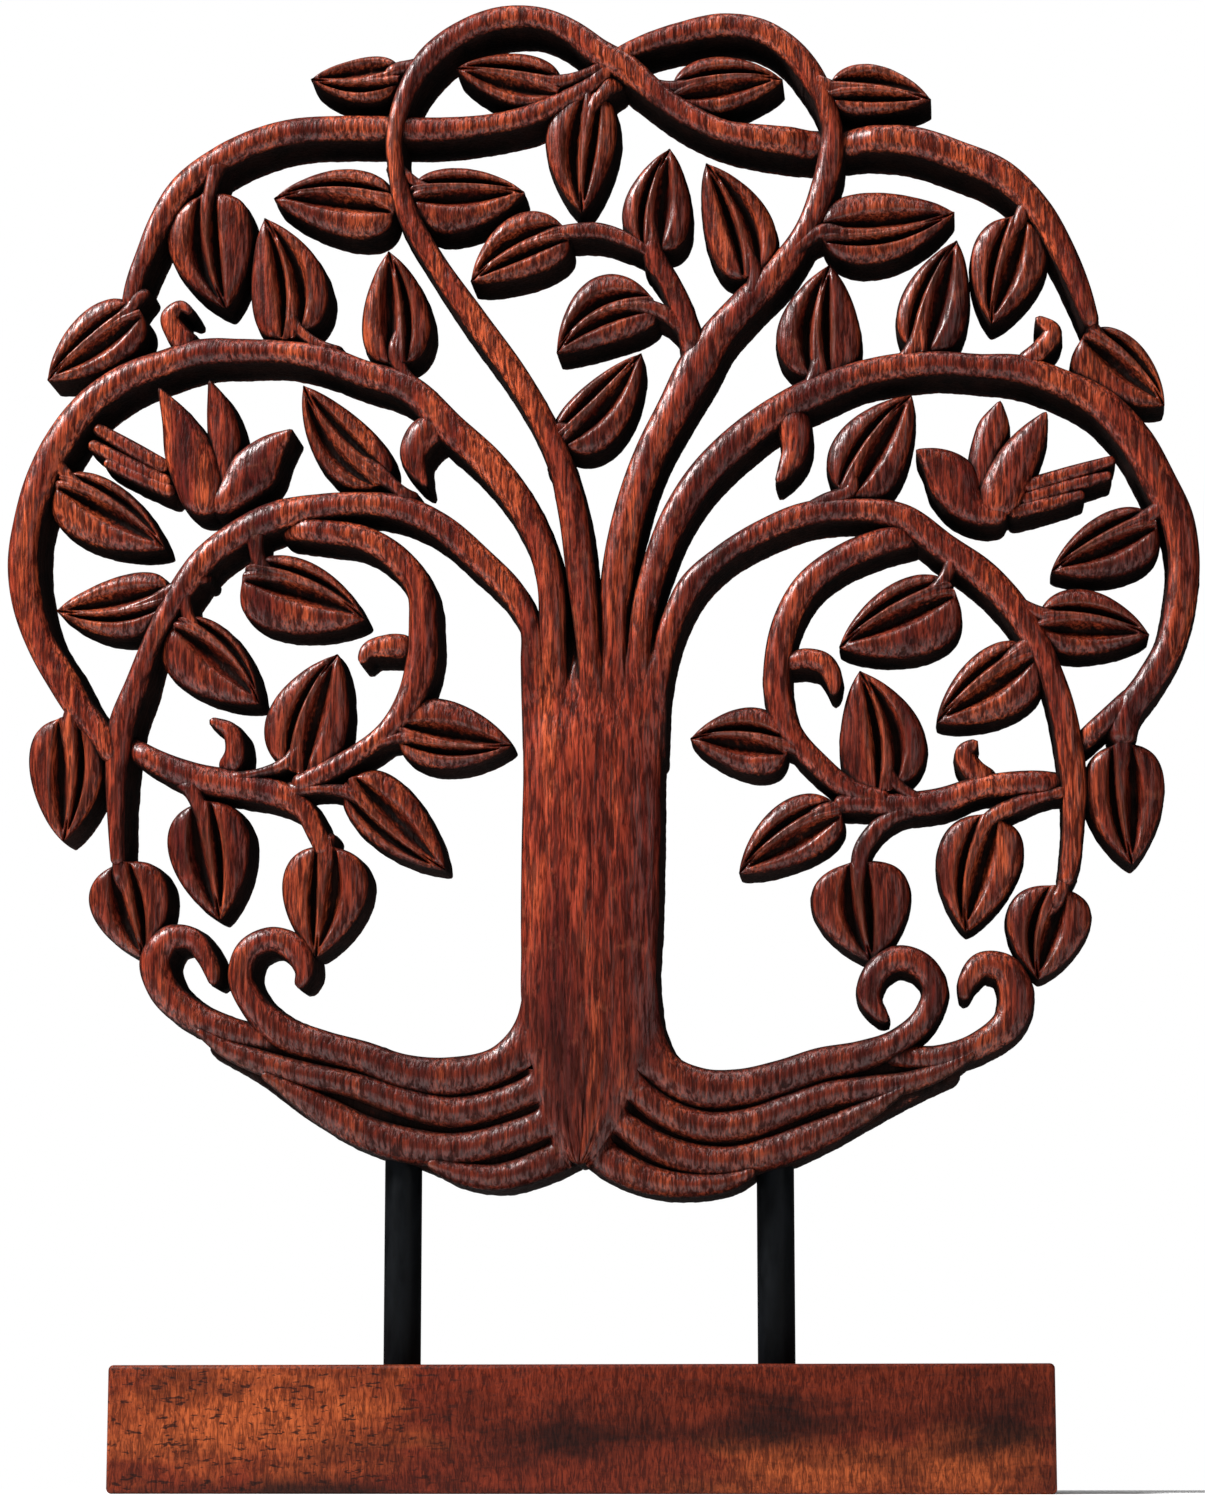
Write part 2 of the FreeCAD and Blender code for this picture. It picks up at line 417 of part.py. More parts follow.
def make_carving(doc):
    """Every carved node, by name.  What is drawn first trims what comes later."""
    drawn = []
    nodes = {}
    nodes["trunk"] = carved_node(doc, "trunk", [stroke_face(TRUNK)], "panel_thickness", drawn)
    for strokes in (ROOTS, BOUGHS):
        for name, lines in strokes.items():
            if name in ROOT_WEBS:
                lines = lines + [ROOT_WEBS[name]]
            faces = trimmed(joined([stroke_face(line) for line in lines]), drawn)
            nodes[name] = carved_node(doc, name, faces, "panel_thickness", drawn)
    for name, points in BIRDS.items():
        faces = trimmed(polygon_face(points), drawn)
        nodes[name] = carved_node(doc, name, faces, "bird_thickness", drawn)
    leaf_faces = {}
    for name, base, tip, left_width, right_width, bow, stem in LEAVES:
        blade = leaf_face(base, tip, left_width, right_width, bow)
        stalk = face_between(*stalk_sides(stem))
        faces = trimmed(joined([blade, stalk]), drawn)
        drawn.extend(faces)
        leaf_faces.setdefault(name, []).extend(faces)
    for name, faces in leaf_faces.items():
        nodes[name] = carved_node(doc, name, faces, "leaf_thickness", [])
    return nodes


def stalk_sides(stem):
    """Left and right sides of a short stem, each a run of points."""
    left = []
    right = []
    for number, (x, z, half_width) in enumerate(stem):
        before = stem[max(number - 1, 0)]
        after = stem[min(number + 1, len(stem) - 1)]
        side = side_of(Vector(after[0] - before[0], 0, after[1] - before[1]))
        left.append(Vector(x, 0, z) + side * half_width)
        right.append(Vector(x, 0, z) - side * half_width)
    return left, right


def check_document(doc):
    for part in doc.Objects:
        if "Invalid" in part.State or "Error" in part.State:
            raise RuntimeError(f"{part.Label} did not compute")


def write_nodes(nodes):
    os.makedirs("parts", exist_ok=True)
    for name, node in nodes.items():
        if node.Shape.isNull() or not node.Shape.isValid() or not node.Shape.Solids:
            raise RuntimeError(f"{name} has no valid shape")
        node.Shape.exportStep(f"parts/{name}.step")


def main():
    doc = FreeCAD.newDocument("tree_of_life")
    make_sheet(doc)
    nodes = {"base_block": make_base(doc), "rod_left": make_rod(doc, "-"),
             "rod_right": make_rod(doc, "+")}
    nodes.update(make_carving(doc))
    for name, sign in BORED_ROOTS.items():
        nodes[name] = drop_over_rod(doc, name, nodes[name], sign)
    for name, node in nodes.items():
        node.Label = name
    doc.recompute()
    check_document(doc)
    write_nodes(nodes)
    for name, node in nodes.items():
        box = node.Shape.BoundBox
        print(f"{name}: {len(node.Shape.Solids)} solid(s), {node.Shape.Volume:.0f} mm3, "
              f"x {box.XMin:.1f}..{box.XMax:.1f} z {box.ZMin:.1f}..{box.ZMax:.1f}")


main()
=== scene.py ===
import math
import bmesh
import bpy
import numpy as np
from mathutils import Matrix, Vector


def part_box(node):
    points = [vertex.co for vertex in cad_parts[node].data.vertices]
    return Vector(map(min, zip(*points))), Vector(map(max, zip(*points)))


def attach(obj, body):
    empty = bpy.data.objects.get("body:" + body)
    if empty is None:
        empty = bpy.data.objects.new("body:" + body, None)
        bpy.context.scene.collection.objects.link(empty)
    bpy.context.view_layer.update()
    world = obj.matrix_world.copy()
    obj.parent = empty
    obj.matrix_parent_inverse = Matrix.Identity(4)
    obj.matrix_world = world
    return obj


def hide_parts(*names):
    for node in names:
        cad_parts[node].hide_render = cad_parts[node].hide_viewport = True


# Looks of the openwork tree of life: a carved hardwood panel on two black rods in a wooden base.
# The tables repeat the carving's drawing in millimetres: x from the trunk's axis, z up from the
# underside of the lowest root.  Heights are millimetres in front of the panel's middle plane.

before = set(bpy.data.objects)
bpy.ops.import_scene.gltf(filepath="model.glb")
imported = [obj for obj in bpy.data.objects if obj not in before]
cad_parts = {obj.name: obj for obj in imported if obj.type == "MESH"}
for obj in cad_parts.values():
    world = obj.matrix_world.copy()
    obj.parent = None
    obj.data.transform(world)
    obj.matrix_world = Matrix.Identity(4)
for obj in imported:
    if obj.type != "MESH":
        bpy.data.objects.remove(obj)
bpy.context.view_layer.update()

MM = 0.001
# Where the drawing's origin is in the frame, and how deep the panel and its leaves are, in mm.
PANEL_SHIFT = 1.6
PANEL_RISE = 77
PANEL_BACK = 10.8
LEAF_BACK = 8.8

# Strokes: centre line points (x, z, half width) along each root, trunk, bough or twig.
TRUNK = [
    (1, 162, 19), (0.5, 145.5, 20), (0, 123.5, 19), (-0.5, 93.5, 19), (-1, 66.5, 18.5),
    (-1.5, 47.5, 17), (-2, 31.5, 13), (-3, 17, 7.5), (-3.5, 9, 2.5)]

ROOTS = {
    "root_left_1": [[
        (-11.5, 90, 4), (-12, 72, 6), (-12, 57, 6.3), (-15.5, 45, 6), (-24.5, 36.5, 5), (-38, 33, 5.3),
        (-51.5, 34.5, 4.8), (-62, 38.5, 4.3), (-73, 41.5, 4.3), (-84, 45.5, 4.6), (-92, 53, 3.8),
        (-95.5, 60.5, 3.5), (-93.5, 67.5, 3.5), (-87, 70.5, 3.5), (-80.5, 67.5, 3.8), (-78, 61.5, 2.7),
        (-79.5, 57, 1.3)]],
    "root_left_2": [[
        (-84, 42.5, 4), (-99, 46, 4), (-110, 51, 4.3), (-117, 58, 4.3), (-119, 65.5, 4.3),
        (-115, 71, 3.8), (-109.5, 71, 3.2), (-105, 66, 2.7), (-103, 61.5, 2.2), (-102.5, 58, 1.1)]],
    "root_left_3": [[
        (-5, 39.5, 4.3), (-12.5, 31.5, 4), (-23, 26.5, 4), (-38, 23.5, 4.3), (-51.5, 26.5, 4),
        (-65, 31, 3.5), (-78.5, 34, 3.5), (-90.5, 37.5, 3.3), (-100, 41.5, 2.4), (-107, 46, 1)]],
    "root_left_4": [
        [(-4, 27.5, 4.3), (-11, 21.5, 4.3), (-23, 16.5, 4.3), (-38, 13.5, 4.5),
         (-51, 15, 4.8), (-62, 18.5, 4.5), (-73, 24.5, 4), (-81.5, 29.5, 2.6), (-89, 34, 1)],
        [(-3.5, 15.5, 5.3), (-12.5, 10, 4.3), (-25.5, 6, 3.7), (-36.5, 7.3, 2.9),
         (-44, 10, 1.3)]],
    "root_right_1": [[
        (10.5, 90, 4), (11, 72, 6), (11, 57, 6.4), (13.5, 43.5, 5.9), (19.5, 34, 5.1), (29, 29.5, 5.3),
        (39.5, 29.5, 5), (50.5, 32, 4.8), (61, 35.5, 4.5), (71.5, 37.5, 4.2), (81.5, 41.5, 3.4),
        (89, 48, 3.4), (91.5, 56, 3.5), (88, 61.5, 3.7), (82, 63.5, 3.7), (76.5, 60.5, 3.5),
        (74, 53.5, 3.2), (77, 48.5, 2.1), (79, 46.5, 1.1)]],
    "root_right_2": [[
        (77, 38.5, 3.4), (92.5, 37, 3.4), (103.5, 40.5, 3.7), (111.5, 47, 4.5), (113, 54.5, 4.8),
        (110, 60.5, 4.2), (104, 61.5, 3.5), (100.5, 57.5, 2.7), (99, 52, 1.1)]],
    "root_right_3": [[
        (2.5, 39.5, 4.3), (10, 31, 3.7), (19.5, 23, 4), (31.5, 19, 4.2), (42, 20, 4.2), (53, 24, 4),
        (63.5, 27.5, 3.7), (74, 29, 3.4), (84.5, 30.5, 2.9), (94, 33.8, 2.2), (102, 38, 1)]],
    "root_right_4": [
        [(-0.5, 27.5, 3.7), (7, 21, 3.5), (17, 14, 4), (27.5, 10.5, 4.2), (38, 10, 4.2),
         (49, 12.5, 4.5), (59.5, 16.5, 4.2), (68.5, 20.5, 3.4), (77, 25, 2.2), (83.5, 29, 0.9)],
        [(-2.5, 17, 5.3), (3.5, 11, 4.8), (15.5, 5, 4), (27.5, 3.5, 3.2), (37, 4.6, 2.4),
         (43.5, 7.2, 1.1)]],
}

# The lower ground between the root strands, which ties them together.
ROOT_WEBS = {
    "root_left_4": [
        (-6, 26, 12), (-25, 20, 16), (-50, 22.5, 11.5), (-70, 30, 10.5), (-90, 38, 5.5), (-104, 42.5, 2.5)],
    "root_right_4": [
        (5, 24, 12), (20, 18, 15.5), (45, 19, 10.5), (66, 26, 9.5), (84, 31.5, 6), (98, 34.5, 3)],
}

# The two crown boughs cross over the tree's head and each goes on as the far ring.
BOUGHS = {
    "crown_bough_left": [[
        (0, 118, 3), (-1, 151, 3.5), (-3, 168, 4), (-5.5, 187.5, 4), (-9, 201.5, 3.5), (-14, 213.5, 3.5),
        (-20.5, 225, 3.5), (-33, 243, 3.5), (-44, 259.5, 3), (-51.5, 273, 3), (-55, 287, 2.4),
        (-55.5, 295.5, 2.4), (-54, 303.5, 2.6), (-50.5, 312, 3), (-45.5, 319, 3.5), (-37, 325.5, 3.5),
        (-25.5, 329.5, 3.5), (-14.5, 329, 3.3), (-6, 325, 3.5), (1.5, 319, 4), (9.5, 314, 4),
        (16, 308, 3.5), (25.5, 300.5, 3.3), (36, 295, 3.3), (48, 292.5, 4), (62, 291, 4.4),
        (77, 291.5, 4), (88.5, 290.5, 4.4), (101, 286, 4.4), (112.5, 280.5, 4.4), (122.5, 270.5, 3.8),
        (129.5, 257.5, 3.5), (134, 246, 3), (137, 236, 2.2)]],
    "crown_bough_right": [[
        (4.5, 116, 4), (5.5, 148, 4.9), (6, 162, 4.6), (8, 177.5, 4.6), (11, 190, 4.6), (16, 204, 4.6),
        (22.5, 216.5, 4.9), (29, 228.5, 5.5), (34, 236.5, 4.7), (41.5, 245, 4.4), (51.5, 255, 4.1),
        (59, 266, 3.3), (64, 278.5, 3.6), (66, 286.5, 3.6), (66.5, 295, 3), (64.5, 303, 3),
        (61, 310.5, 3.6), (55, 318.5, 3.6), (47, 324, 3.6), (36, 326, 3.6), (24.5, 324, 3.3),
        (15.5, 321.5, 2.8), (8, 318, 2.5), (0, 310, 2.5), (-9, 305, 2.8), (-17, 301.5, 3.1),
        (-28.5, 299, 3.1), (-42.5, 298, 3.6), (-56.5, 298.5, 3.9), (-70.5, 299, 3.9), (-84.5, 298.5, 3.9),
        (-96, 295.5, 3.9), (-106, 290.5, 3.9), (-115.5, 283, 3.9), (-122, 272.5, 3.3), (-125.5, 264, 2.8),
        (-128.5, 255.5, 2.5), (-130, 248.5, 2.2)]],
    "outer_bough_left": [
        [(-9, 120, 3.5), (-11, 151.5, 3.8), (-11.5, 168, 3.8), (-13.5, 176.5, 3.8), (-17.5, 186, 4.1),
         (-28, 201, 4.4), (-39, 211.5, 4.4), (-51.5, 223.5, 4.1), (-64, 228, 3.9), (-75.5, 232.5, 3.9),
         (-86.5, 234.5, 3.3), (-97.5, 235, 3.6), (-109, 235, 3.9), (-120, 232, 3.9), (-130.5, 228, 4.2),
         (-140, 221.5, 4.2), (-148.5, 210.5, 4.4), (-154, 198.5, 4.4), (-157, 187.5, 4.1),
         (-158, 176.5, 4.4), (-156.5, 165, 4.4), (-152.5, 153.5, 4.1), (-146.5, 143.5, 4.4),
         (-141, 134.5, 3.9), (-135.5, 128, 3.4), (-131, 120, 2.8)],
        [(-111, 235, 4.4), (-116, 240.5, 3.3), (-118, 245.5, 2.6), (-115, 248, 1.8),
         (-111.5, 246, 1)],
        [(-40.5, 214, 4.2), (-47.5, 209.5, 4.6), (-49.5, 204.5, 3.9), (-48, 199.5, 2.4),
         (-45.5, 195, 0.6)]],
    "outer_bough_right": [
        [(11.5, 122, 3.5), (13, 151, 3.5), (14.5, 161.5, 3.5), (17.5, 172.5, 3.8), (22, 184, 4.1),
         (29.5, 196, 4.4), (40.5, 207, 4.6), (51.5, 215, 4.4), (62.5, 220.5, 4.4), (73.5, 224.5, 3.8),
         (84.5, 226.5, 3.8), (95.5, 227, 3.5), (106, 226, 3.5), (117, 225, 4.1), (127.5, 221, 4.1),
         (138.5, 215, 4.6), (147.5, 205, 4.9), (154, 192.5, 4.9), (158.5, 182.5, 4.6), (160, 174.5, 4.3),
         (159, 159.5, 4.3), (156, 148, 4), (150, 137.5, 4), (144, 129, 4), (142, 120, 3.7)],
        [(147, 135, 3), (138, 127, 2.8), (130, 120, 2.8)],
        [(53, 217, 4.5), (55.5, 209.5, 4.6), (55.5, 203.5, 3.8), (53, 198, 2.4),
         (50.5, 194, 0.7)],
        [(117, 226, 3), (123, 230.5, 2.8), (126, 235, 2.7), (121.5, 239, 1.1)]],
    "inner_bough_left": [[
        (-15, 118, 4), (-16, 146, 3.7), (-17, 155.5, 3), (-20.5, 163, 3.5), (-31.5, 175, 3.8),
        (-42.5, 184.5, 3.8), (-53, 189.5, 3.8), (-64, 191, 3.3), (-75, 190.5, 3.6), (-87.5, 188, 4.4),
        (-97.5, 183.5, 4.1), (-107.5, 176, 3.8), (-114, 167, 3.6), (-119.5, 157.5, 2.7),
        (-122.5, 150.5, 2.7), (-125.5, 141.5, 3.3), (-129.5, 130, 3.8), (-130.5, 118.5, 3.3),
        (-130.5, 109, 2.7), (-130, 98, 2.2), (-129.5, 91, 1.9)]],
    "inner_bough_right": [[
        (15.5, 116, 4), (18, 144, 3.6), (21.5, 155.5, 3.3), (27, 166.5, 3.5), (35.5, 174.5, 3),
        (46.5, 181, 3.3), (58, 185.5, 3.5), (71, 186.5, 3.3), (84, 184.5, 3.8), (96, 175.5, 4.1),
        (106.5, 167.5, 4.3), (114.5, 158.5, 4), (119.5, 150.5, 3.8), (123, 143, 3.2), (126, 133.5, 3.5),
        (128.5, 120, 3.7), (129.5, 109.5, 3.5), (129, 98.5, 2.9), (128, 89, 2.7), (126.5, 82.5, 2.1)]],
    "spiral_bough_left": [
        [(-87, 185, 3.3), (-75, 183.5, 3.6), (-62.5, 181, 3.6), (-53.5, 175, 3.8),
         (-47.5, 166.5, 3.8), (-46.5, 157, 4.1), (-47, 146.5, 4.4), (-50, 136.5, 3.8), (-56, 127.5, 3),
         (-64.5, 121, 2.7), (-73.5, 116, 3), (-82, 112, 3)],
        [(-49, 150.5, 3.6), (-56, 151, 3.4), (-61.5, 149.5, 2.5), (-63.5, 146, 1.1)]],
    "spiral_bough_right": [
        [(90.5, 180, 3.2), (78.5, 177.5, 3.8), (67.5, 173, 3.8), (58.5, 166, 3.8),
         (53, 156.5, 3.8), (50.5, 146, 3.8), (50.5, 135, 3.8), (54, 125, 3.2), (61, 116.5, 3.2),
         (69.5, 109.5, 3), (80.5, 106, 2.7)],
        [(51.5, 144, 2.2), (58, 145.5, 3), (63, 144, 3), (65.5, 139, 2.2), (65.5, 135, 0.8)]],
    "twig_left": [
        [(-129.5, 126, 2.7), (-121, 120.5, 3.3), (-109.5, 115.5, 4.1), (-97, 113, 4.1),
         (-85, 110, 3.8), (-78.5, 105.5, 3), (-75, 99, 2.7), (-72.5, 93, 2.2)],
        [(-101, 116, 3.6), (-98, 122, 2.9), (-99, 127.5, 2.5), (-105, 131, 1.1)]],
    "twig_right": [
        [(129, 110, 3.5), (115, 110.5, 3.5), (104.5, 109.5, 3.2), (93.5, 106, 3.7),
         (83, 105, 3.5), (72, 105.5, 2.7), (65, 105.5, 2.4)],
        [(108.5, 110, 3.8), (102.5, 114.5, 3.3), (100.5, 119, 2.7), (104, 122, 1.1)]],
    "centre_twig": [[
        (28, 227.5, 3.6), (27, 236, 3.3), (24.5, 244.5, 3.3), (21, 252.5, 3), (17, 259.5, 3),
        (16, 264.5, 2.2)]],
}

# Leaves: node, base point, tip point, widths to the left and right of the way from base
# to tip, bow of the midrib, and the stem that ties the leaf to its bough.  Two leaves
# that grow side by side share a node as two solids.
LEAVES = [
    ("leaf_pair_left_1", (-54, 314), (-79.5, 313.5), 7, 7.2, 0.8, [(-48.5, 316.5, 2.8), (-56, 315, 2)]),
    ("leaf_pair_left_1", (-9, 309), (-38.5, 315.5), 8.3, 7.5, -0.8, [(5, 315.5, 2.8), (-9, 309.5, 2.2)]),
    ("leaf_left_1", (0, 307), (-3, 272.5), 8.6, 11.6, -0.8, [(5.5, 309.5, 2.8), (2, 305.5, 2)]),
    ("leaf_left_2", (-108, 281), (-102.5, 247.5), 12.2, 12.2, -1.7,
     [(-105.5, 289.5, 3.4), (-107.5, 281, 1.8)]),
    ("leaf_left_3", (-84.5, 238), (-92, 273.5), 10.5, 11.6, -2.2, [(-72.5, 233.5, 3.3), (-83, 241.5, 1.8)]),
    ("leaf_pair_left_2", (-55, 276), (-89.5, 279), 11.8, 8.3, -2.2, [(-49, 272, 2.8), (-56, 277, 2.2)]),
    ("leaf_pair_left_2", (-51, 279.5), (-19, 279), 6.7, 12.4, 1.1, [(-55, 287, 2.2), (-49, 283, 1.8)]),
    ("leaf_left_4", (-7, 267), (-34, 253.5), 8.3, 10.5, -1.7,
     [(16.5, 260, 1.9), (9, 264.5, 2.2), (2, 267, 2.4), (-7, 267, 2.2)]),
    ("leaf_left_5", (-54, 230), (-57, 263), 10.5, 9.1, -1.1, [(-46, 220.5, 3.3), (-55, 233.5, 1.8)]),
    ("leaf_left_6", (-127, 248), (-152.5, 228), 10, 8.9, -1.1, [(-127, 252, 2.4), (-129, 245, 2)]),
    ("leaf_pair_left_3", (17.5, 246), (-10, 232.5), 8.2, 12, -3.3,
     [(25, 238, 2), (20, 243, 2.2), (13, 245.5, 2)]),
    ("leaf_pair_left_3", (-10, 207), (13.5, 232), 6, 11.2, 0, [(-10, 201, 2.2), (-9.5, 211, 1.6)]),
    ("leaf_left_7", (-57.5, 197), (-80.5, 225), 9.3, 8.2, 1.6, [(-51, 192.5, 2.4), (-60, 200, 2.4)]),
    ("leaf_left_8", (-148.5, 199.5), (-118.5, 179.5), 6.4, 12.6, 1.7,
     [(-151, 207.5, 3.3), (-146, 198, 1.9)]),
    ("leaf_left_9", (-116.5, 166.5), (-148.5, 162.5), 9.1, 9.3, 1.6,
     [(-108.5, 172, 3.3), (-118, 166.5, 1.9)]),
    ("leaf_pair_left_4", (-96, 172.5), (-62.5, 158.5), 7.4, 14.4, 2.2,
     [(-93.5, 183.5, 3.3), (-92, 170, 2.4)]),
    ("leaf_pair_left_4", (-114.5, 159), (-91.5, 135.5), 6, 14, 2.2, [(-113, 169, 3.3), (-113, 155, 1.9)]),
    ("leaf_left_10", (-81, 116), (-70, 149), 11.4, 11.9, 2.2, [(-99, 114.5, 2.4), (-80, 119, 2.2)]),
    ("leaf_pair_left_5", (-53.5, 127), (-22, 123), 11.8, 7.9, -1.1, [(-64, 121.5, 2.4), (-51, 127.5, 1.9)]),
    ("leaf_pair_left_5", (-67, 113.5), (-40, 89), 10.8, 7, -1.1, [(-82, 111, 2.6), (-64, 112, 2.2)]),
    ("leaf_pair_left_6", (-107, 108.5), (-101.5, 76), 11.4, 11.4, 0,
     [(-111, 114, 3.3), (-106.5, 105, 2.2)]),
    ("leaf_pair_left_6", (-72.5, 96), (-75, 65.5), 12.4, 11.4, 0, [(-72.5, 97, 2.2), (-72.5, 93, 2.2)]),
    ("leaf_left_11", (-129, 92), (-122, 65.5), 10.9, 11.4, 0, [(-129.5, 96, 2), (-129, 88, 1.9)]),
    ("leaf_left_12", (-144.5, 132.5), (-145, 98), 9.8, 11.8, 1.1, [(-142, 137, 3.6), (-144, 129, 2.4)]),
    ("leaf_pair_right_1", (22, 306.5), (53, 309.5), 8, 9.2, 1.7, [(15, 309.5, 2.8), (23, 305.5, 1.9)]),
    ("leaf_pair_right_1", (65.5, 306), (94, 302.5), 8.3, 7.2, 1.1, [(61, 309.5, 2.8), (68, 306, 2.2)]),
    ("leaf_pair_right_2", (16.5, 261), (21.5, 290.5), 8.8, 10.5, 1.7, [(17, 258, 2.4), (16.5, 265, 2)]),
    ("leaf_pair_right_2", (44, 253), (31.5, 286), 9.6, 9.9, -1.6, [(44, 247, 2.7), (44.5, 256, 1.9)]),
    ("leaf_right_1", (63, 265), (100, 270), 11.5, 9.6, -1.6, [(55, 259.5, 2.7), (65, 265.5, 2.2)]),
    ("leaf_right_2", (63, 223), (65.5, 256), 12, 11.5, 1.6, [(57, 217, 3.3), (63, 226, 2.2)]),
    ("leaf_right_3", (89.5, 230.5), (100.5, 262), 8.2, 11.2, 1.6, [(83, 226, 2.7), (89, 233, 2.4)]),
    ("leaf_right_4", (117.5, 268), (109.5, 238), 11.5, 9.3, -1.1, [(120.5, 274.5, 3.3), (117, 266, 1.9)]),
    ("leaf_right_5", (135.5, 235), (156, 214), 6.5, 13, 1.6, [(134.5, 243, 2.4), (137, 232, 1.9)]),
    ("leaf_right_6", (69, 191), (87.5, 218.5), 9.8, 11.4, 1.6,
     [(54, 185, 2.4), (64, 189, 2.4), (71, 193, 1.9)]),
    ("leaf_right_7", (152.5, 182.5), (124.5, 168.5), 11.3, 7, -1.1, [(158, 188.5, 3.2), (149, 182, 2.2)]),
    ("leaf_right_8", (120.5, 155), (150.5, 150.5), 9.1, 9.7, 1.6, [(109, 165, 3.3), (122, 155.5, 2.2)]),
    ("leaf_pair_right_3", (98, 164.5), (67, 148.5), 14.5, 7.6, -1.6, [(98.5, 174, 2.7), (96, 162, 2.2)]),
    ("leaf_pair_right_3", (119, 147), (93, 127.5), 12.4, 7.5, -1.1, [(122, 151.5, 2.8), (115, 146, 2.4)]),
    ("leaf_right_9", (79, 108.5), (72.5, 142), 11.8, 11.8, -2.1, [(89.5, 105.5, 2.6), (79, 111, 1.9)]),
    ("leaf_pair_right_4", (53, 121), (26.5, 124), 9.7, 9.1, -1.6, [(57, 120, 2.4), (50, 122.5, 1.6)]),
    ("leaf_pair_right_4", (66.5, 104.5), (39.5, 87), 9.1, 8.6, -1.6, [(72, 105.5, 2.4), (62, 103.5, 2)]),
    ("leaf_right_10", (71.5, 90), (75, 62.5), 13.4, 13.4, -0.8,
     [(84.5, 103.5, 2.7), (77, 99, 2.4), (72.5, 92.5, 2.4), (71.5, 86, 2)]),
    ("leaf_right_11", (107, 102), (100, 70.5), 12.3, 10.4, -1.6,
     [(127, 108, 2), (114, 104.5, 2.3), (106, 100, 2)]),
    ("leaf_right_12", (125, 82.5), (119, 57.5), 11.7, 10.6, -1.6, [(127, 85, 2.2), (124, 78, 1.9)]),
    ("leaf_right_13", (142.5, 121), (144.5, 88), 11.2, 10.7, -0.8, [(143, 126, 3.6), (142.5, 117, 2.2)]),
]

# Each bird as strokes: wings, head with beak, and three tail feathers.
BIRDS = {
    "bird_left": [
        [(-120.5, 224.5, 0.4), (-115.5, 215, 4.6), (-112.5, 207, 6.7), (-109.8, 199.5, 6.8),
         (-107.5, 192.5, 5.5), (-105, 189, 3)],
        [(-106, 190, 3.5), (-99.8, 195, 5), (-94, 201.5, 6.8), (-89.3, 207.2, 4.6), (-83, 212, 0.4)],
        [(-106.8, 227, 0.4), (-104.3, 219.5, 3.6), (-102.8, 211.5, 4.8), (-103, 203, 4.2), (-103, 194, 3)],
        [(-139, 214.5, 1.6), (-129, 208.5, 2.2), (-118, 202, 2.2)],
        [(-140.5, 210, 1.6), (-130, 204, 2.2), (-117, 197.5, 2.2)],
        [(-136, 204.5, 1.4), (-128, 200.5, 1.8), (-116, 195, 2)]],
    "bird_right": [
        [(124, 212.3, 0.5), (120.7, 207, 3.7), (116.5, 200.5, 5.4), (113.3, 194.5, 6),
         (110.5, 188.5, 5.8), (107.5, 184.5, 3.5)],
        [(88.5, 202.6, 0.4), (93.6, 199.6, 4.6), (98.2, 194.8, 7), (101.6, 188.6, 5.6),
         (106, 185, 3.8), (113, 184.2, 2.5)],
        [(111.6, 216.3, 0.4), (110.2, 211, 4), (108.3, 205, 4.6), (106.5, 198, 4.2), (106, 190, 3)],
        [(142.5, 199.2, 1.4), (132, 196.2, 2), (117, 192, 2.2)],
        [(141.5, 195, 1.4), (131, 192.5, 2), (116, 188.3, 2.2)],
        [(134, 189.8, 1.2), (127, 188, 1.8), (113, 184.8, 2.2)]],
}

# Front height of each kind of element, and how far its edge is rounded down.
LEVELS = {"trunk": 10.8, "root": 10.2, "crown_bough_left": 10.8, "crown_bough_right": 9.4,
          "outer_bough": 10.6, "inner_bough": 10.2, "spiral_bough": 9.8, "twig": 9.8,
          "centre_twig": 9.8, "bird": 9.4}
LEAF_LEVEL = 8.8
STEM_RISE = 0.7
WEB_LEVEL = 6.0
# Each stroke's back lies this much in front of the one before, so that no two backs coincide.
BACK_STEP = 0.02
WEB_BACK_STEPS = 60
# Height of each bird stroke over the bird's level: near wing, body, far wing, three tail feathers.
BIRD_STEPS = (0.9, 0.2, -1.5, -0.8, -1.0, -0.8)
# How much further a leaf's midrib bows than its outline does.
RIB_LEAN = 0.6
# Painted shade in a thin line along every carved edge: amount, and width in mm.
EDGE_SHADE = 0.5
EDGE_LINE = 0.95
# How far a stroke's edge, the trunk's edge and the trunk's edge at its foot lie below the ridge.
EDGE_DROP = 3.4
TRUNK_DROP = 6.0
FOOT_DROP = 1.4
# Distances from the trunk's lower end between which its edge comes up to the foot's height.
FOOT_DROP_REACH = (62, 30)
# Shallow grooves along the trunk: place across it, width and depth.
TRUNK_FLUTES = [(-0.62, 0.05, 0.35), (-0.3, 0.04, 0.45), (0.05, 0.04, 0.5), (0.4, 0.05, 0.4),
                (0.72, 0.05, 0.35)]
# Where a bough dives under another: place, reach and depth of the dip.
DIPS = {"crown_bough_left": [(66, 291.5, 13, 3.4)]}
# Grooves that run on down the trunk from between the boughs: x, bottom and top.
HEAD_CUTS = [(-6.7, 138, 160), (2, 138, 160), (9.8, 138, 160), (16.8, 138, 160)]
CUT_DEPTH = 1.0
CUT_WIDTH = 0.8
CUT_FADES = (14, 4)
# Where roots flow into the trunk: shares of its half width, then heights.
FOOT_INNER = (0.5, 0.85)
FOOT_OUTER = (1.0, 1.35)
FOOT_TOP = (54, 68)
# Where boughs flow into the trunk: heights at the bottom and top, then shares of its half width.
HEAD_BOTTOM = (112, 124)
HEAD_TOP = (128, 152)
HEAD_SIDE = (1.1, 1.3)
# Other elements lie this far under the trunk where they share its surface.
JOIN_GAP = 0.12

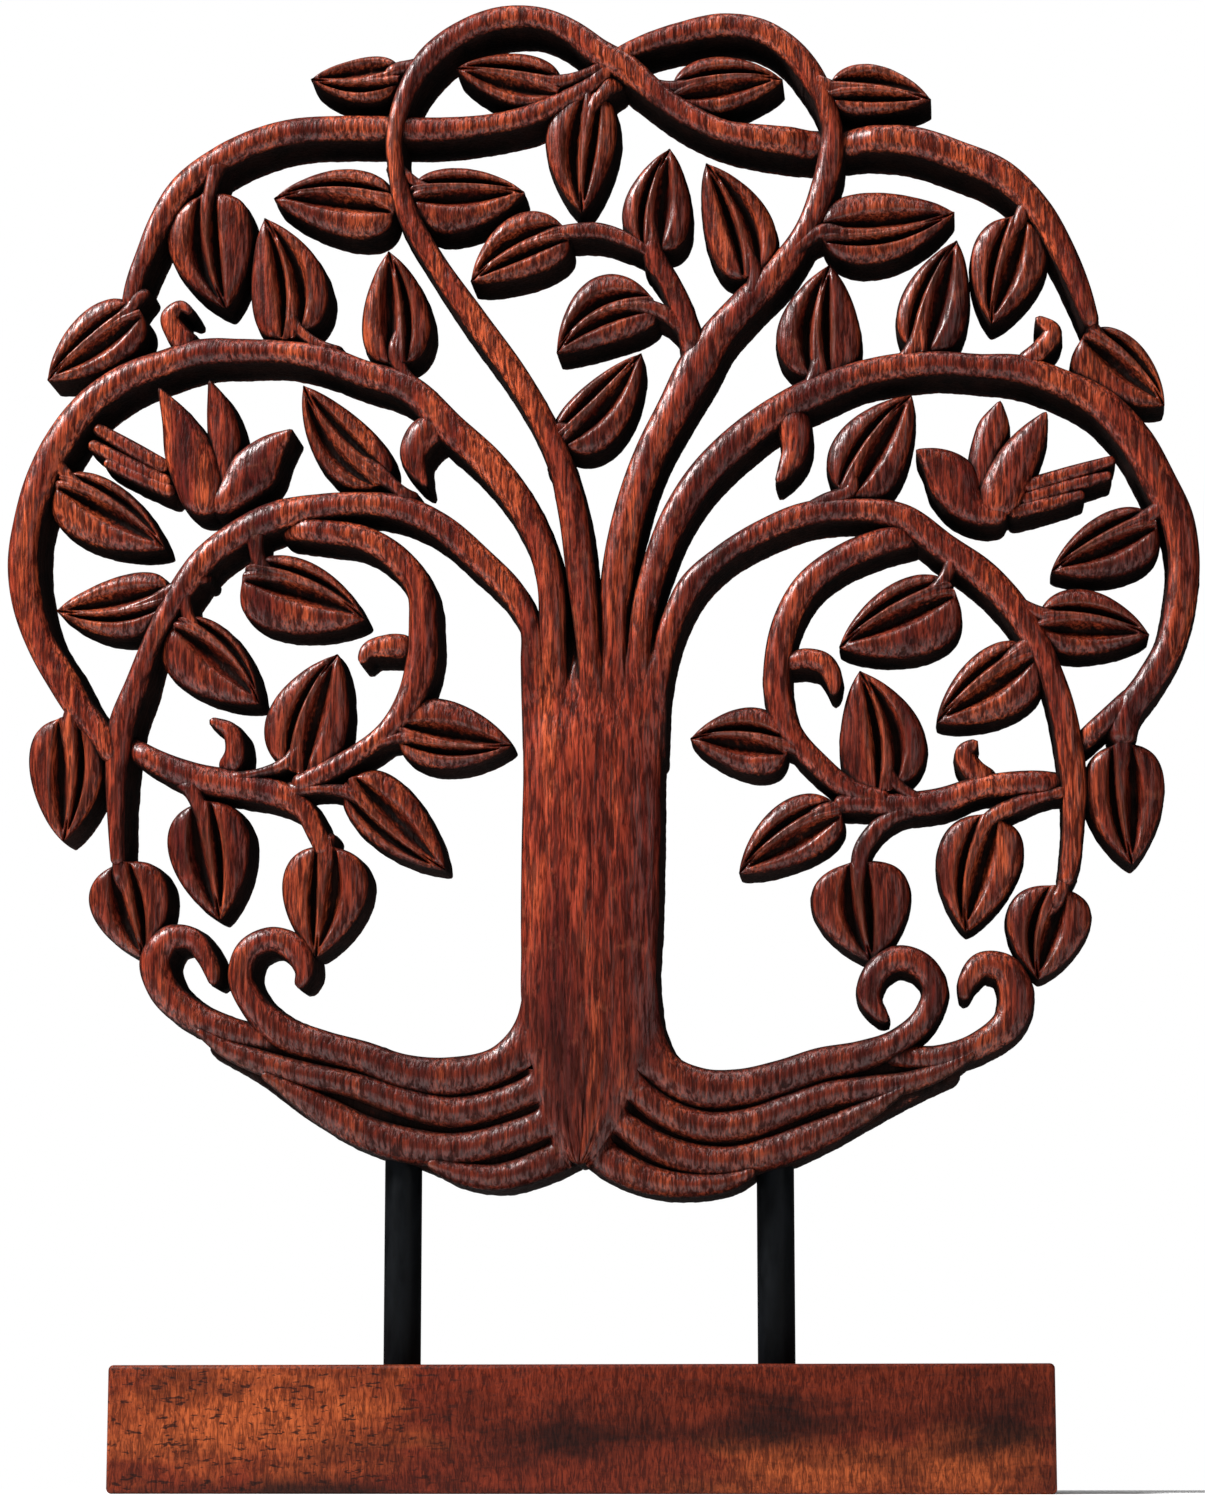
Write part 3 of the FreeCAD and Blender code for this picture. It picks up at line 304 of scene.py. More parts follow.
# Rows of points down a side wall: share of the way to the back, and how far each is tucked in.
WALL_ROWS = ((0.06, -0.12), (0.3, 0.25), (0.62, 0.35), (1.0, 0.1))
WALL_WOBBLE = 0.14
STROKE_WOBBLE = 0.12
LEAF_WOBBLE = 0.14

# A leaf's fullness at a share u of its length: peak * u ** blunt * (1 - u) ** sharp.
LEAF_PEAK = 2.19
LEAF_BLUNT = 0.42
LEAF_SHARP = 0.8
LEAF_PITCH = 0.42
# Relief of a leaf in mm: edge and trough of the lobes, midrib, grooves beside it, line at the
# tip, and the fall at the leaf's two ends.
LOBE_DROP = 3.2
LOBE_TROUGH = 1.3
RIB_HEIGHT = 1.9
GROOVE_DEPTH = 3.9
TIP_LINE_DEPTH = 1.1
FOOT_FALL = 2.0
TIP_FALL = 1.8

# Where a spot lies below its surroundings it takes dark stain and painted shade, where it lies under
# another element painted shade, and where it rises above them painted highlight with some wear: by how much
# at first, and over what range. The back face takes a lesser amount.
HOLLOW_RANGE = (0.12, 1.25)
COVERED_RANGE = (0.5, 1.5)
CREST_RANGE = (0.1, 0.9)
BACK_STAIN = 0.35
# Painted shade: how light each kind of element is painted, and how much darker the carving is painted
# towards its foot.
KIND_SHADES = {"trunk": 1.0, "root": 0.95, "leaf": 0.68, "bird": 0.85, "bough": 0.86}
FOOT_SHADE = 0.5
FOOT_RANGE = (0.112, 0.160)
BASE_HALF_LENGTH = 0.1225

# Lighter and darker patches of the base block, in metres: middle x and z, half width, half height.
BASE_GLOWS = [(-0.090, 0.018, 0.040, 0.018), (0.062, 0.004, 0.040, 0.009), (0.104, 0.006, 0.018, 0.012)]
BASE_CLOUDS = [(0.004, 0.014, 0.032, 0.007), (0.052, 0.019, 0.017, 0.007), (0.109, 0.019, 0.016, 0.010),
               (-0.074, 0.000, 0.040, 0.0045)]

# Spacing of the points along and across a shape, in mm.
PITCH = 0.55
# The relief map: cell size and low corner in mm, and number of cells each way.
MAP_CELL = 0.5
MAP_CORNER = (-170, -10)
MAP_SHAPE = (680, 720)
EMPTY = -99.0

CAMERA_PLACE = (0.0976, -1.100, 0.0069)
CAMERA_AIM = (-0.0838, 0.98154, 0.1719)
CAMERA_LENS = 98.6
FLOOR_HALF_WIDTH = 0.7
FLOOR_FRONT = -0.7
FLOOR_BACK = 0.16
ROOM_LIGHT = 0.06
LAMP_AIM = (0, 0, 0.2)


# ---------- shapes ----------

def smooth_line(points):
    """Even samples of a smooth curve through (x, z, half width) points."""
    p = np.array(points, float)
    p = np.vstack([2 * p[0] - p[1], p, 2 * p[-1] - p[-2]])
    gaps = np.linalg.norm(np.diff(p[:, :2], axis=0), axis=1)[:, None]
    slope = np.diff(p, axis=0) / gaps
    tangent = (slope[:-1] * gaps[1:] + slope[1:] * gaps[:-1]) / (gaps[:-1] + gaps[1:])
    samples = []
    for i in range(len(points) - 1):
        start, end, gap = p[i + 1], p[i + 2], gaps[i + 1]
        steps = max(3, int(gap[0] / PITCH))
        t = np.linspace(0, 1, steps, endpoint=False)[:, None]
        samples.append((2 * t ** 3 - 3 * t ** 2 + 1) * start + (3 * t ** 2 - 2 * t ** 3) * end
                       + (t ** 3 - 2 * t ** 2 + t) * gap * tangent[i]
                       + (t ** 3 - t ** 2) * gap * tangent[i + 1])
    samples.append(p[-2:-1])
    return np.vstack(samples)


def fade(value, start, end):
    """0 at start, 1 at end, smooth between them."""
    t = np.clip((value - start) / (end - start), 0, 1)
    return t * t * (3 - 2 * t)


def round_end(distance, width):
    """1 along a stroke, falling in a quarter circle over its last half width."""
    return np.sqrt(np.clip(1 - np.clip(1 - distance / width, 0, 1) ** 2, 0.004, 1))


def wobble(a, b, seed):
    """A gentle unevenness, as a hand tool leaves."""
    return (np.sin(a * 0.9 + seed) * np.sin(b * 0.53 + 1.7 * seed)
            + 0.6 * np.sin(a * 0.37 - b * 0.31 + 2.3 * seed)
            + 0.4 * np.sin(a * 2.1 + b * 1.3 + seed * seed)) / 2


def close_section(x, z, height, side_x, side_z, back):
    """Closed rings from rows of front points: down one wall, across the back and up the other."""
    edge_x = x[:, [-1, 0]]
    edge_z = z[:, [-1, 0]]
    edge_h = height[:, [-1, 0]]
    inward = np.array([-1.0, 1.0])
    wall = {"x": [], "z": [], "h": []}
    for depth, tuck in WALL_ROWS:
        ragged = WALL_WOBBLE * wobble(edge_x * 1.9, edge_z * 1.9, 3 * depth)
        wall["x"].append(edge_x + side_x[:, None] * inward * (tuck + ragged))
        wall["z"].append(edge_z + side_z[:, None] * inward * (tuck + ragged))
        wall["h"].append(edge_h + (-back - edge_h) * depth)
    rings = {}
    for key, front in (("x", x), ("z", z), ("h", height)):
        right = np.stack([w[:, 0] for w in wall[key]], 1)
        left = np.stack([w[:, 1] for w in wall[key]], 1)
        middle = (right[:, -1:] + left[:, -1:]) / 2
        rings[key] = np.hstack([front, right, middle, left[:, ::-1]])
    front_count = x.shape[1]
    return rings["x"], rings["z"], rings["h"], front_count


def ribbon(points, level, drop=EDGE_DROP, roundness=2.0, back=PANEL_BACK, sink=0.0, sink_reach=30.0,
           end_sink=0.0, end_reach=6.0, dips=(), flutes=(), foot_drop=None):
    """A carved stroke: a rounded ridge that follows the line, with straight walls behind it."""
    line = smooth_line(points)
    x, z, half = line.T
    travel = np.concatenate([[0], np.cumsum(np.hypot(np.diff(x), np.diff(z)))])
    dx, dz = np.gradient(x), np.gradient(z)
    length = np.hypot(dx, dz)
    side_x, side_z = -dz / length, dx / length
    ends = np.minimum(round_end(travel, half), round_end(travel[-1] - travel, half))
    across = max(15, 2 * int(half.max() / PITCH) + 1)
    t = np.sin(np.linspace(1, -1, across) * math.pi / 2)[None, :]
    width = (half * ends)[:, None]
    grid_x = x[:, None] + side_x[:, None] * width * t
    grid_z = z[:, None] + side_z[:, None] * width * t
    crown = (1 - np.abs(t) ** roundness) ** (1 / roundness)
    fall = np.minimum(half * 0.85, drop)[:, None]
    if foot_drop is not None:
        fall = fall + (foot_drop - fall) * fade(travel, *(travel[-1] - np.array(FOOT_DROP_REACH)))[:, None]
    top = level - sink * (1 - fade(travel, 0, sink_reach))
    top = top - end_sink * (1 - fade(travel[-1] - travel, 0, end_reach))
    for dip_x, dip_z, reach, depth in dips:
        away = np.hypot(x - dip_x, z - dip_z)
        top = top - depth * (1 - fade(away, reach * 0.3, reach))
    height = top[:, None] - fall * (1 - crown * ends[:, None])
    for place, groove_width, depth in flutes:
        wander = place + 0.07 * np.sin(travel / 23 + 5 * place)[:, None]
        height = height - depth * np.exp(-((t - wander) / groove_width) ** 2)
    height = height + STROKE_WOBBLE * wobble(grid_x, grid_z * 0.4, 1.0)
    return close_section(grid_x, grid_z, height, side_x, side_z, back)


def midrib(foot, point, bow, u):
    """Place on the curved line from a leaf's foot to its tip; bow is its offset halfway."""
    chord = point - foot
    side = np.array([-chord[1], chord[0]]) / np.linalg.norm(chord)
    return foot + chord * u + side * bow * 4 * u * (1 - u)


def leaf(base, tip, left_width, right_width, bow, rib):
    """A carved leaf: two domed lobes, deep crescent grooves and the stem running on as midrib."""
    foot, point = np.array(base, float), np.array(tip, float)
    chord = point - foot
    side = np.array([-chord[1], chord[0]]) / np.linalg.norm(chord)
    rows = int(np.linalg.norm(chord) / PITCH)
    u = (0.5 - 0.5 * np.cos(np.linspace(0.035, 0.975, rows) * math.pi))[:, None]
    rib_line = midrib(foot, point, bow, u)
    deep_left = 1.35 if left_width > right_width else 0.65
    full = LEAF_PEAK * u ** LEAF_BLUNT * (1 - u) ** LEAF_SHARP
    v = np.linspace(1, -1, 2 * int((left_width + right_width) / 2 / LEAF_PITCH) + 1)
    v = (np.sign(v) * np.abs(v) ** 1.15)[None, :]
    side_width = np.where(v >= 0, left_width, right_width) * full
    lean = RIB_LEAN * bow * 4 * u * (1 - u) * (1 - np.abs(v))
    x = rib_line[:, :1] + side[0] * (side_width * v + lean)
    z = rib_line[:, 1:] + side[1] * (side_width * v + lean)
    q = np.abs(v) + 0 * u
    away = q * side_width
    outer = np.clip((q - 0.42) / 0.58, 0, 1)
    inner = np.clip((0.45 - q) / 0.45, 0, 1)
    height = LEAF_LEVEL - LOBE_DROP * (1 - np.sqrt(1 - outer ** 2 * 0.995)) - LOBE_TROUGH * inner ** 1.4
    rib_width = rib * 0.85 * (1 - u) + 0.4
    ridge = np.exp(-(away / rib_width) ** 4) * RIB_HEIGHT * (1 - 0.7 * u)
    swell = np.sin(math.pi * np.clip((u - 0.03) / 0.87, 0, 1))
    groove_width = 0.3 + np.where(v >= 0, deep_left, 2 - deep_left) * 1.15 * swell
    groove = GROOVE_DEPTH * swell ** 0.45 * np.exp(-((away - rib_width - groove_width) / groove_width) ** 2)
    tip_line = TIP_LINE_DEPTH * np.exp(-(away / 0.4) ** 2) * fade(u, 0.76, 0.86) * (1 - fade(u, 0.94, 1))
    height = height + ridge - groove - tip_line
    height = height - FOOT_FALL * (1 - np.sqrt(1 - np.clip(1 - u / 0.14, 0, 1) ** 2 * 0.99))
    height = height - TIP_FALL * np.clip((u - 0.84) / 0.16, 0, 1) ** 2
    height = height + LEAF_WOBBLE * wobble(x * 1.3, z * 0.5, 2.0)
    ones = np.ones(len(u))
    return close_section(x, z, height, side[0] * ones, side[1] * ones, LEAF_BACK)


# ---------- the relief as a map, for stain and painted shade in hollows and painted highlight on crests ---

def map_cells(x, z):
    """Column and row of the cell that each place falls in."""
    column = np.clip(((x - MAP_CORNER[0]) / MAP_CELL).astype(int), 0, MAP_SHAPE[0] - 1)
    row = np.clip(((z - MAP_CORNER[1]) / MAP_CELL).astype(int), 0, MAP_SHAPE[1] - 1)
    return column, row


def between_cells(grid, x, z):
    """The map's value at a place, weighed between the four cells around it."""
    column = np.clip((x - MAP_CORNER[0]) / MAP_CELL - 0.5, 0, MAP_SHAPE[0] - 1.001)
    row = np.clip((z - MAP_CORNER[1]) / MAP_CELL - 0.5, 0, MAP_SHAPE[1] - 1.001)
    left, low = column.astype(int), row.astype(int)
    across, up = column - left, row - low
    lower = grid[left, low] * (1 - across) + grid[left + 1, low] * across
    upper = grid[left, low + 1] * (1 - across) + grid[left + 1, low + 1] * across
    return lower * (1 - up) + upper * up


def box_blur(values, reach):
    """Mean over the cells up to reach away, along one way of the map and then the other."""
    for axis in (0, 1):
        pad = [(0, 0), (0, 0)]
        pad[axis] = (reach + 1, reach)
        total = np.cumsum(np.pad(values, pad), axis=axis)
        lead = np.take(total, range(2 * reach + 1, total.shape[axis]), axis=axis)
        trail = np.take(total, range(0, total.shape[axis] - 2 * reach - 1), axis=axis)
        values = (lead - trail) / (2 * reach + 1)
    return values


def finer(grid):
    """The same grid with a value added halfway between all neighbours, both ways."""
    for _ in range(2):
        between = (grid[1:] + grid[:-1]) / 2
        wide = np.empty((len(grid) + len(between), grid.shape[1]))
        wide[0::2], wide[1::2] = grid, between
        grid = wide.T
    return grid


def trunk_reach(x, z):
    """Distance from the trunk's axis, as a share of the trunk's half width there."""
    trunk = np.array(TRUNK)[::-1]
    centre = np.interp(z, trunk[:, 1], trunk[:, 0])
    return np.abs(x - centre) / np.interp(z, trunk[:, 1], trunk[:, 2])


def foot_amount(x, z):
    """1 where the roots flow into the trunk, fading to 0 away from there."""
    reach = trunk_reach(x, z)
    return fade(reach, *FOOT_INNER) * (1 - fade(reach, *FOOT_OUTER)) * (1 - fade(z, *FOOT_TOP))


def join_amount(x, z):
    """1 where roots and boughs flow into the trunk, fading to 0 away from those zones."""
    side = 1 - fade(trunk_reach(x, z), *HEAD_SIDE)
    head = fade(z, *HEAD_BOTTOM) * (1 - fade(z, *HEAD_TOP)) * side
    return np.maximum(foot_amount(x, z), head)


def blend_joins(shapes):
    """Pull the trunk, roots and boughs onto one smooth surface where they meet."""
    joined = [shape for name in shapes if not name.startswith("leaf") for shape in shapes[name]]
    smooth = relief_map(joined, (5, 5))[1]
    fade_in, fade_out = CUT_FADES
    for name in shapes:
        if name.startswith("leaf"):
            continue
        gap = 0.0 if name == "trunk" else JOIN_GAP
        for x, z, height, front_count in shapes[name]:
            front = height[:, :front_count]
            front_x, front_z = x[:, :front_count], z[:, :front_count]
            target = between_cells(smooth, front_x, front_z) - gap
            front += (target - front) * join_amount(front_x, front_z)
            for cut_x, low, high in HEAD_CUTS:
                along = fade(front_z, low, low + fade_in) * (1 - fade(front_z, high, high + fade_out))
                front -= CUT_DEPTH * along * np.exp(-((front_x - cut_x) / CUT_WIDTH) ** 2)


def relief_map(shapes, reaches=(2, 2)):
    """Highest front surface in each cell, and its blur over the covered cells only."""
    top = np.full(MAP_SHAPE, EMPTY)
    for x, z, height, front_count in shapes:
        fine_x, fine_z, fine_height = (finer(grid[:, :front_count]) for grid in (x, z, height))
        np.maximum.at(top, map_cells(fine_x, fine_z), fine_height)
    grown = top.copy()
    for shift in ((1, 0), (-1, 0), (0, 1), (0, -1)):
        grown = np.maximum(grown, np.roll(top, shift, (0, 1)))
    top = np.where(top == EMPTY, grown, top)
    covered = (top > EMPTY).astype(float)
    weight = covered
    blurred = np.where(covered > 0, top, 0)
    for reach in reaches:
        weight = box_blur(weight, reach)
        blurred = box_blur(blurred, reach)
    return top, blurred / np.maximum(weight, 1e-6)


def surface_marks(shape, top, blurred):
    """Amounts of dark stain and painted shade, and of painted highlight and wear on crests, for each vertex
    of a shape.
    """
    x, z, height, front_count = shape
    cells = map_cells(x, z)
    # Dark stain and painted shade where a spot lies below its surroundings; painted shade where it lies
    # under another element.
    stain_and_shade = np.clip((blurred[cells] - height - HOLLOW_RANGE[0]) / HOLLOW_RANGE[1], 0, 1)
    covered = np.clip((top[cells] - height - COVERED_RANGE[0]) / COVERED_RANGE[1], 0, 1)
    stain_and_shade = np.maximum(stain_and_shade, covered)
    edges = (0, front_count - 1)
    from_edge = np.minimum(*[np.hypot(x - x[:, [side]], z - z[:, [side]]) for side in edges])
    # Painted shade in a thin line along each carved edge, left out where the roots flow into the trunk.
    edge_line = (1 - fade(from_edge, 0.1, EDGE_LINE)) * (1 - foot_amount(x, z))
    stain_and_shade = np.maximum(stain_and_shade, EDGE_SHADE * edge_line)
    # Painted highlight, with some wear, where a spot rises above its surroundings.
    crest = np.clip((height - blurred[cells] - CREST_RANGE[0]) / CREST_RANGE[1], 0, 1)
    back_part = np.arange(x.shape[1]) >= front_count
    # The side walls are fully near-black, dark stain and painted shade; the back face takes less.
    stain_and_shade[:, back_part] = 1.0
    crest[:, back_part] = 0
    stain_and_shade[:, front_count + 3:front_count + 6] = BACK_STAIN
    return stain_and_shade, crest


# ---------- meshes ----------

def shape_mesh(shape, offset):
    """Vertices and faces of one closed shape: rings joined along their length, with capped ends."""
    x, z, height, front_count = shape
    rings, count = x.shape
    verts = np.stack([x + PANEL_SHIFT, -height, z + PANEL_RISE], -1).reshape(-1, 3)
    index = np.arange(rings * count).reshape(rings, count)
    follow = np.roll(index, -1, axis=1)
    quads = np.stack([index[:-1], index[1:], follow[1:], follow[:-1]], -1).reshape(-1, 4)
    caps = [index[0][::-1].tolist(), index[-1].tolist()]
    faces = (quads + offset).tolist()
    faces += [[corner + offset for corner in cap] for cap in caps]
    return verts, faces


def place_mesh(name, mesh, sharp_from):
    """An object of this mesh, shaded smooth but for edges sharper than an angle in degrees."""
    mesh.shade_smooth()
    mesh.set_sharp_from_angle(angle=math.radians(sharp_from))
    placed = bpy.data.objects.new(name, mesh)
    bpy.context.scene.collection.objects.link(placed)
    return placed


def carved_object(name, shapes, top, blurred):
    """One object from a node's shapes, with its amounts of stain and painted shade and of crest highlight
    and wear as attributes.
    """
    verts, faces, stain_and_shade, crest = [], [], [], []
    total = 0
    for shape in shapes:
        part_verts, part_faces = shape_mesh(shape, total)
        part_stain_and_shade, part_crest = surface_marks(shape, top, blurred)
        verts.append(part_verts)
        faces += part_faces
        stain_and_shade.append(part_stain_and_shade.ravel())
        crest.append(part_crest.ravel())
        total += len(part_verts)
    mesh = bpy.data.meshes.new(name)
    mesh.from_pydata((np.vstack(verts) * MM).tolist(), [], faces)
    for label, values in (("stain_and_shade", stain_and_shade), ("crest", crest)):
        layer = mesh.attributes.new(label, "FLOAT", "POINT")
        layer.data.foreach_set("value", np.concatenate(values).astype(np.float32))
    return place_mesh(name, mesh, 50)


# ---------- materials ----------

class Nodes:
    """Short calls for building a node material."""

    def __init__(self, name):
        self.material = bpy.data.materials.new(name)
        self.material.use_nodes = True
        self.tree = self.material.node_tree
        self.shader = self.tree.nodes["Principled BSDF"]

    def add(self, kind, **settings):
        """A new node of this kind."""
        node = self.tree.nodes.new(kind)
        for key, value in settings.items():
            setattr(node, key, value)
        return node

    def link(self, source, target):
        self.tree.links.new(source, target)

    def coordinates(self, scale, turn=(0, 0, 0)):
        """Object coordinates, scaled and then turned, for stretched grain."""
        place = self.add("ShaderNodeTexCoord")
        mapping = self.add("ShaderNodeMapping")
        mapping.inputs["Scale"].default_value = scale
        mapping.inputs["Rotation"].default_value = turn
        self.link(place.outputs["Object"], mapping.inputs["Vector"])
        return mapping.outputs["Vector"]

    def position(self, axis):
        """How far along an axis the surface is, in metres."""
        place = self.add("ShaderNodeSeparateXYZ")
        self.link(self.add("ShaderNodeTexCoord").outputs["Object"], place.inputs[0])
        return place.outputs[axis]

    def noise(self, vector, scale, detail, roughness, distortion=0.0):
        """Noise of this scale per metre."""
        node = self.add("ShaderNodeTexNoise")
        self.link(vector, node.inputs["Vector"])
        node.inputs["Scale"].default_value = scale
        node.inputs["Detail"].default_value = detail
        node.inputs["Roughness"].default_value = roughness
        node.inputs["Distortion"].default_value = distortion
        return node.outputs["Fac"]

    def ramp(self, value, stops):
        """Colours at stops along a value."""
        node = self.add("ShaderNodeValToRGB")
        ramp = node.color_ramp
        while len(ramp.elements) < len(stops):
            ramp.elements.new(0.5)
        for element, (place, colour) in zip(ramp.elements, stops):
            element.position = place
            element.color = (*colour, 1)
        self.link(value, node.inputs["Fac"])
        return node.outputs["Color"]

    def mix(self, factor, first, second, blend="MIX"):
        """Two colours mixed; each input may be a number, a colour or a socket."""
        node = self.add("ShaderNodeMix", data_type="RGBA", blend_type=blend)
        inputs = ((node.inputs[0], factor), (node.inputs[6], first), (node.inputs[7], second))
        for socket, value in inputs:
            if isinstance(value, (int, float)):
                socket.default_value = value
            elif isinstance(value, tuple):
                socket.default_value = (*value, 1)
            else:
                self.link(value, socket)
        return node.outputs[2]

    def math(self, operation, first, second):
        """Arithmetic on two inputs, each a number or a socket."""
        node = self.add("ShaderNodeMath", operation=operation)
        for socket, value in zip(node.inputs, (first, second)):
            if isinstance(value, (int, float)):
                socket.default_value = value
            else:
                self.link(value, socket)
        return node.outputs[0]

    def span(self, value, low, high, to_low=0.0, to_high=1.0):
        """A value that runs from to_low at low to to_high at high, and stays level past them."""
        node = self.add("ShaderNodeMapRange")
        self.link(value, node.inputs["Value"])
        limits = {"From Min": low, "From Max": high, "To Min": to_low, "To Max": to_high}
        for label, number in limits.items():
            node.inputs[label].default_value = number
        return node.outputs["Result"]

    def spot(self, x, z, half_width, half_height, noise):
        """1 in the middle of an upright oval, fading to 0 past its ragged rim."""
        place = self.add("ShaderNodeTexCoord")
        mapping = self.add("ShaderNodeMapping")
        mapping.inputs["Scale"].default_value = (1 / half_width, 0, 1 / half_height)
        mapping.inputs["Location"].default_value = (-x / half_width, 0, -z / half_height)
        self.link(place.outputs["Object"], mapping.inputs["Vector"])
        length = self.add("ShaderNodeVectorMath", operation="LENGTH")
        self.link(mapping.outputs["Vector"], length.inputs[0])
        ragged = self.math("ADD", length.outputs["Value"], self.span(noise, 0.3, 0.7, -0.6, 0.6))
        return self.span(ragged, 1.3, 0.3)

    def attribute(self, name):
        """A number stored on the mesh's vertices."""
        return self.add("ShaderNodeAttribute", attribute_name=name).outputs["Fac"]

    def bump(self, height, strength, distance):
        """A normal that follows this height."""
        node = self.add("ShaderNodeBump")
        node.inputs["Strength"].default_value = strength
        node.inputs["Distance"].default_value = distance
        self.link(height, node.inputs["Height"])
        return node.outputs["Normal"]


def carved_wood(kind):
    """Polished reddish hardwood: upright grain, dark tool marks, near-black stain and painted shade in
    hollows and on walls, painted highlight on crests, and painted shade by kind and towards the foot.
    """
    n = Nodes("carved_wood_" + kind)
    # Painted shade: each kind of element is painted at its own lightness, and darker towards the carving's
    # foot.
    foot_and_kind_shade = n.math("MULTIPLY", n.span(n.position("Z"), *FOOT_RANGE, FOOT_SHADE, 1.0), KIND_SHADES[kind])
    hair_tone, worn_tone, wear_and_highlight_tone = (0.030, 0.003, 0.001), (0.42, 0.12, 0.06), (0.50, 0.15, 0.07)
    figure = n.noise(n.coordinates((1, 1, 0.12)), 75, 4, 0.62, 0.5)
    streak = n.noise(n.coordinates((1, 1, 0.13)), 900, 3, 0.62, 0.4)
    hair = n.noise(n.coordinates((1, 1, 0.07)), 1700, 2, 0.5, 0.3)
    mottle = n.noise(n.coordinates((1, 1, 1)), 150, 4, 0.65)
    body = n.ramp(figure, [(0.36, (0.085, 0.006, 0.003)), (0.5, (0.225, 0.027, 0.010)),
                           (0.64, (0.430, 0.072, 0.022))])
    dark_lines = n.ramp(streak, [(0.38, (0.16, 0.10, 0.10)), (0.47, (0.68, 0.60, 0.58)),
                                 (0.56, (1.06, 1.06, 1.06)), (0.68, (1.5, 1.6, 1.8))])
    body = n.mix(0.95, body, dark_lines, "MULTIPLY")
    body = n.mix(1.0, body, foot_and_kind_shade, "MULTIPLY")
    body = n.mix(n.span(hair, 0.42, 0.54, 0.8, 0.0), body, hair_tone)
    body = n.mix(n.span(mottle, 0.6, 0.78, 0.0, 0.2), body, worn_tone)
    # Crests are lightened a little: painted highlight, with some wear.
    crest = n.attribute("crest")
    body = n.mix(n.math("MULTIPLY", crest, 0.12), body, wear_and_highlight_tone)
    # Near-black in hollows, under other elements, along carved edges and on the walls: partly the carving's
    # dark stain, partly painted shade.
    stain_and_shade = n.attribute("stain_and_shade")
    stain_and_shade_tone = n.ramp(mottle, [(0.35, (0.0016, 0.0007, 0.0005)), (0.75, (0.012, 0.0035, 0.0022))])
    ragged = n.math("ADD", stain_and_shade, n.span(streak, 0.3, 0.7, 0.14, -0.14))
    colour = n.mix(n.span(ragged, 0.06, 0.56, 0.0, 0.99), body, stain_and_shade_tone)
    n.link(colour, n.shader.inputs["Base Color"])
    rough = n.math("ADD", n.span(streak, 0.35, 0.65, 0.50, 0.32), n.math("MULTIPLY", stain_and_shade, 0.45))
    n.link(rough, n.shader.inputs["Roughness"])
    n.shader.inputs["Specular IOR Level"].default_value = 0.08
    relief = n.math("ADD", streak, n.math("MULTIPLY", mottle, 0.6))
    n.link(n.bump(relief, 0.8, 0.0008), n.shader.inputs["Normal"])
    n.link(n.bump(relief, 0.3, 0.0006), n.shader.inputs["Coat Normal"])
    raised = n.span(stain_and_shade, 0.05, 0.45, 1.0, 0.0)
    gloss = n.math("MULTIPLY", raised, n.span(streak, 0.42, 0.56, 0.05, 0.6))
    n.link(gloss, n.shader.inputs["Coat Weight"])
    n.shader.inputs["Coat Roughness"].default_value = 0.3
    return n.material


def base_wood():
    """Waxed orange-brown block: light at its left end, with a dark heartwood cloud and fine lines."""
    n = Nodes("base_wood")
    ragged = n.noise(n.coordinates((0.4, 1, 1), (0, -0.12, 0)), 75, 5, 0.62, 0.6)
    lines = n.noise(n.coordinates((0.3, 1, 1), (0, 0.12, 0)), 900, 2, 0.6, 0.3)
    hatch = n.noise(n.coordinates((1, 1, 0.2), (0, 0.6, 0)), 1300, 3, 0.65, 1.0)
    patches = n.noise(n.coordinates((0.35, 1, 1), (0, 0.1, 0)), 110, 4, 0.65)
    along = n.span(n.position("X"), -BASE_HALF_LENGTH, BASE_HALF_LENGTH)
    body = n.ramp(along, [(0.0, (0.095, 0.013, 0.004)), (0.3, (0.088, 0.011, 0.004)),
                          (1.0, (0.080, 0.011, 0.004))])
    glow_tone, cloud_tone = (0.225, 0.046, 0.012), (0.007, 0.0015, 0.001)
    for spot in BASE_GLOWS:
        body = n.mix(n.math("MULTIPLY", n.spot(*spot, ragged), 0.9), body, glow_tone)
    for spot in BASE_CLOUDS:
        body = n.mix(n.math("MULTIPLY", n.spot(*spot, ragged), 0.9), body, cloud_tone)
    body = n.mix(n.span(patches, 0.52, 0.38, 0.0, 0.55), body, (0.030, 0.004, 0.0015))
    pores = n.math("MULTIPLY", n.span(lines, 0.40, 0.34, 0.0, 0.9), n.span(along, 0.3, 0.45, 1.0, 0.3))
    body = n.mix(pores, body, (0.014, 0.003, 0.0015))
    fine = n.ramp(hatch, [(0.40, (0.40, 0.33, 0.30)), (0.5, (1.0, 0.95, 0.92)), (0.64, (1.8, 1.9, 1.9))])
    body = n.mix(0.85, body, fine, "MULTIPLY")
    n.link(body, n.shader.inputs["Base Color"])
    n.link(n.span(lines, 0.3, 0.7, 0.58, 0.4), n.shader.inputs["Roughness"])
    n.shader.inputs["Specular IOR Level"].default_value = 0.10
    n.link(n.bump(n.math("ADD", lines, hatch), 0.35, 0.0004), n.shader.inputs["Normal"])
    return n.material


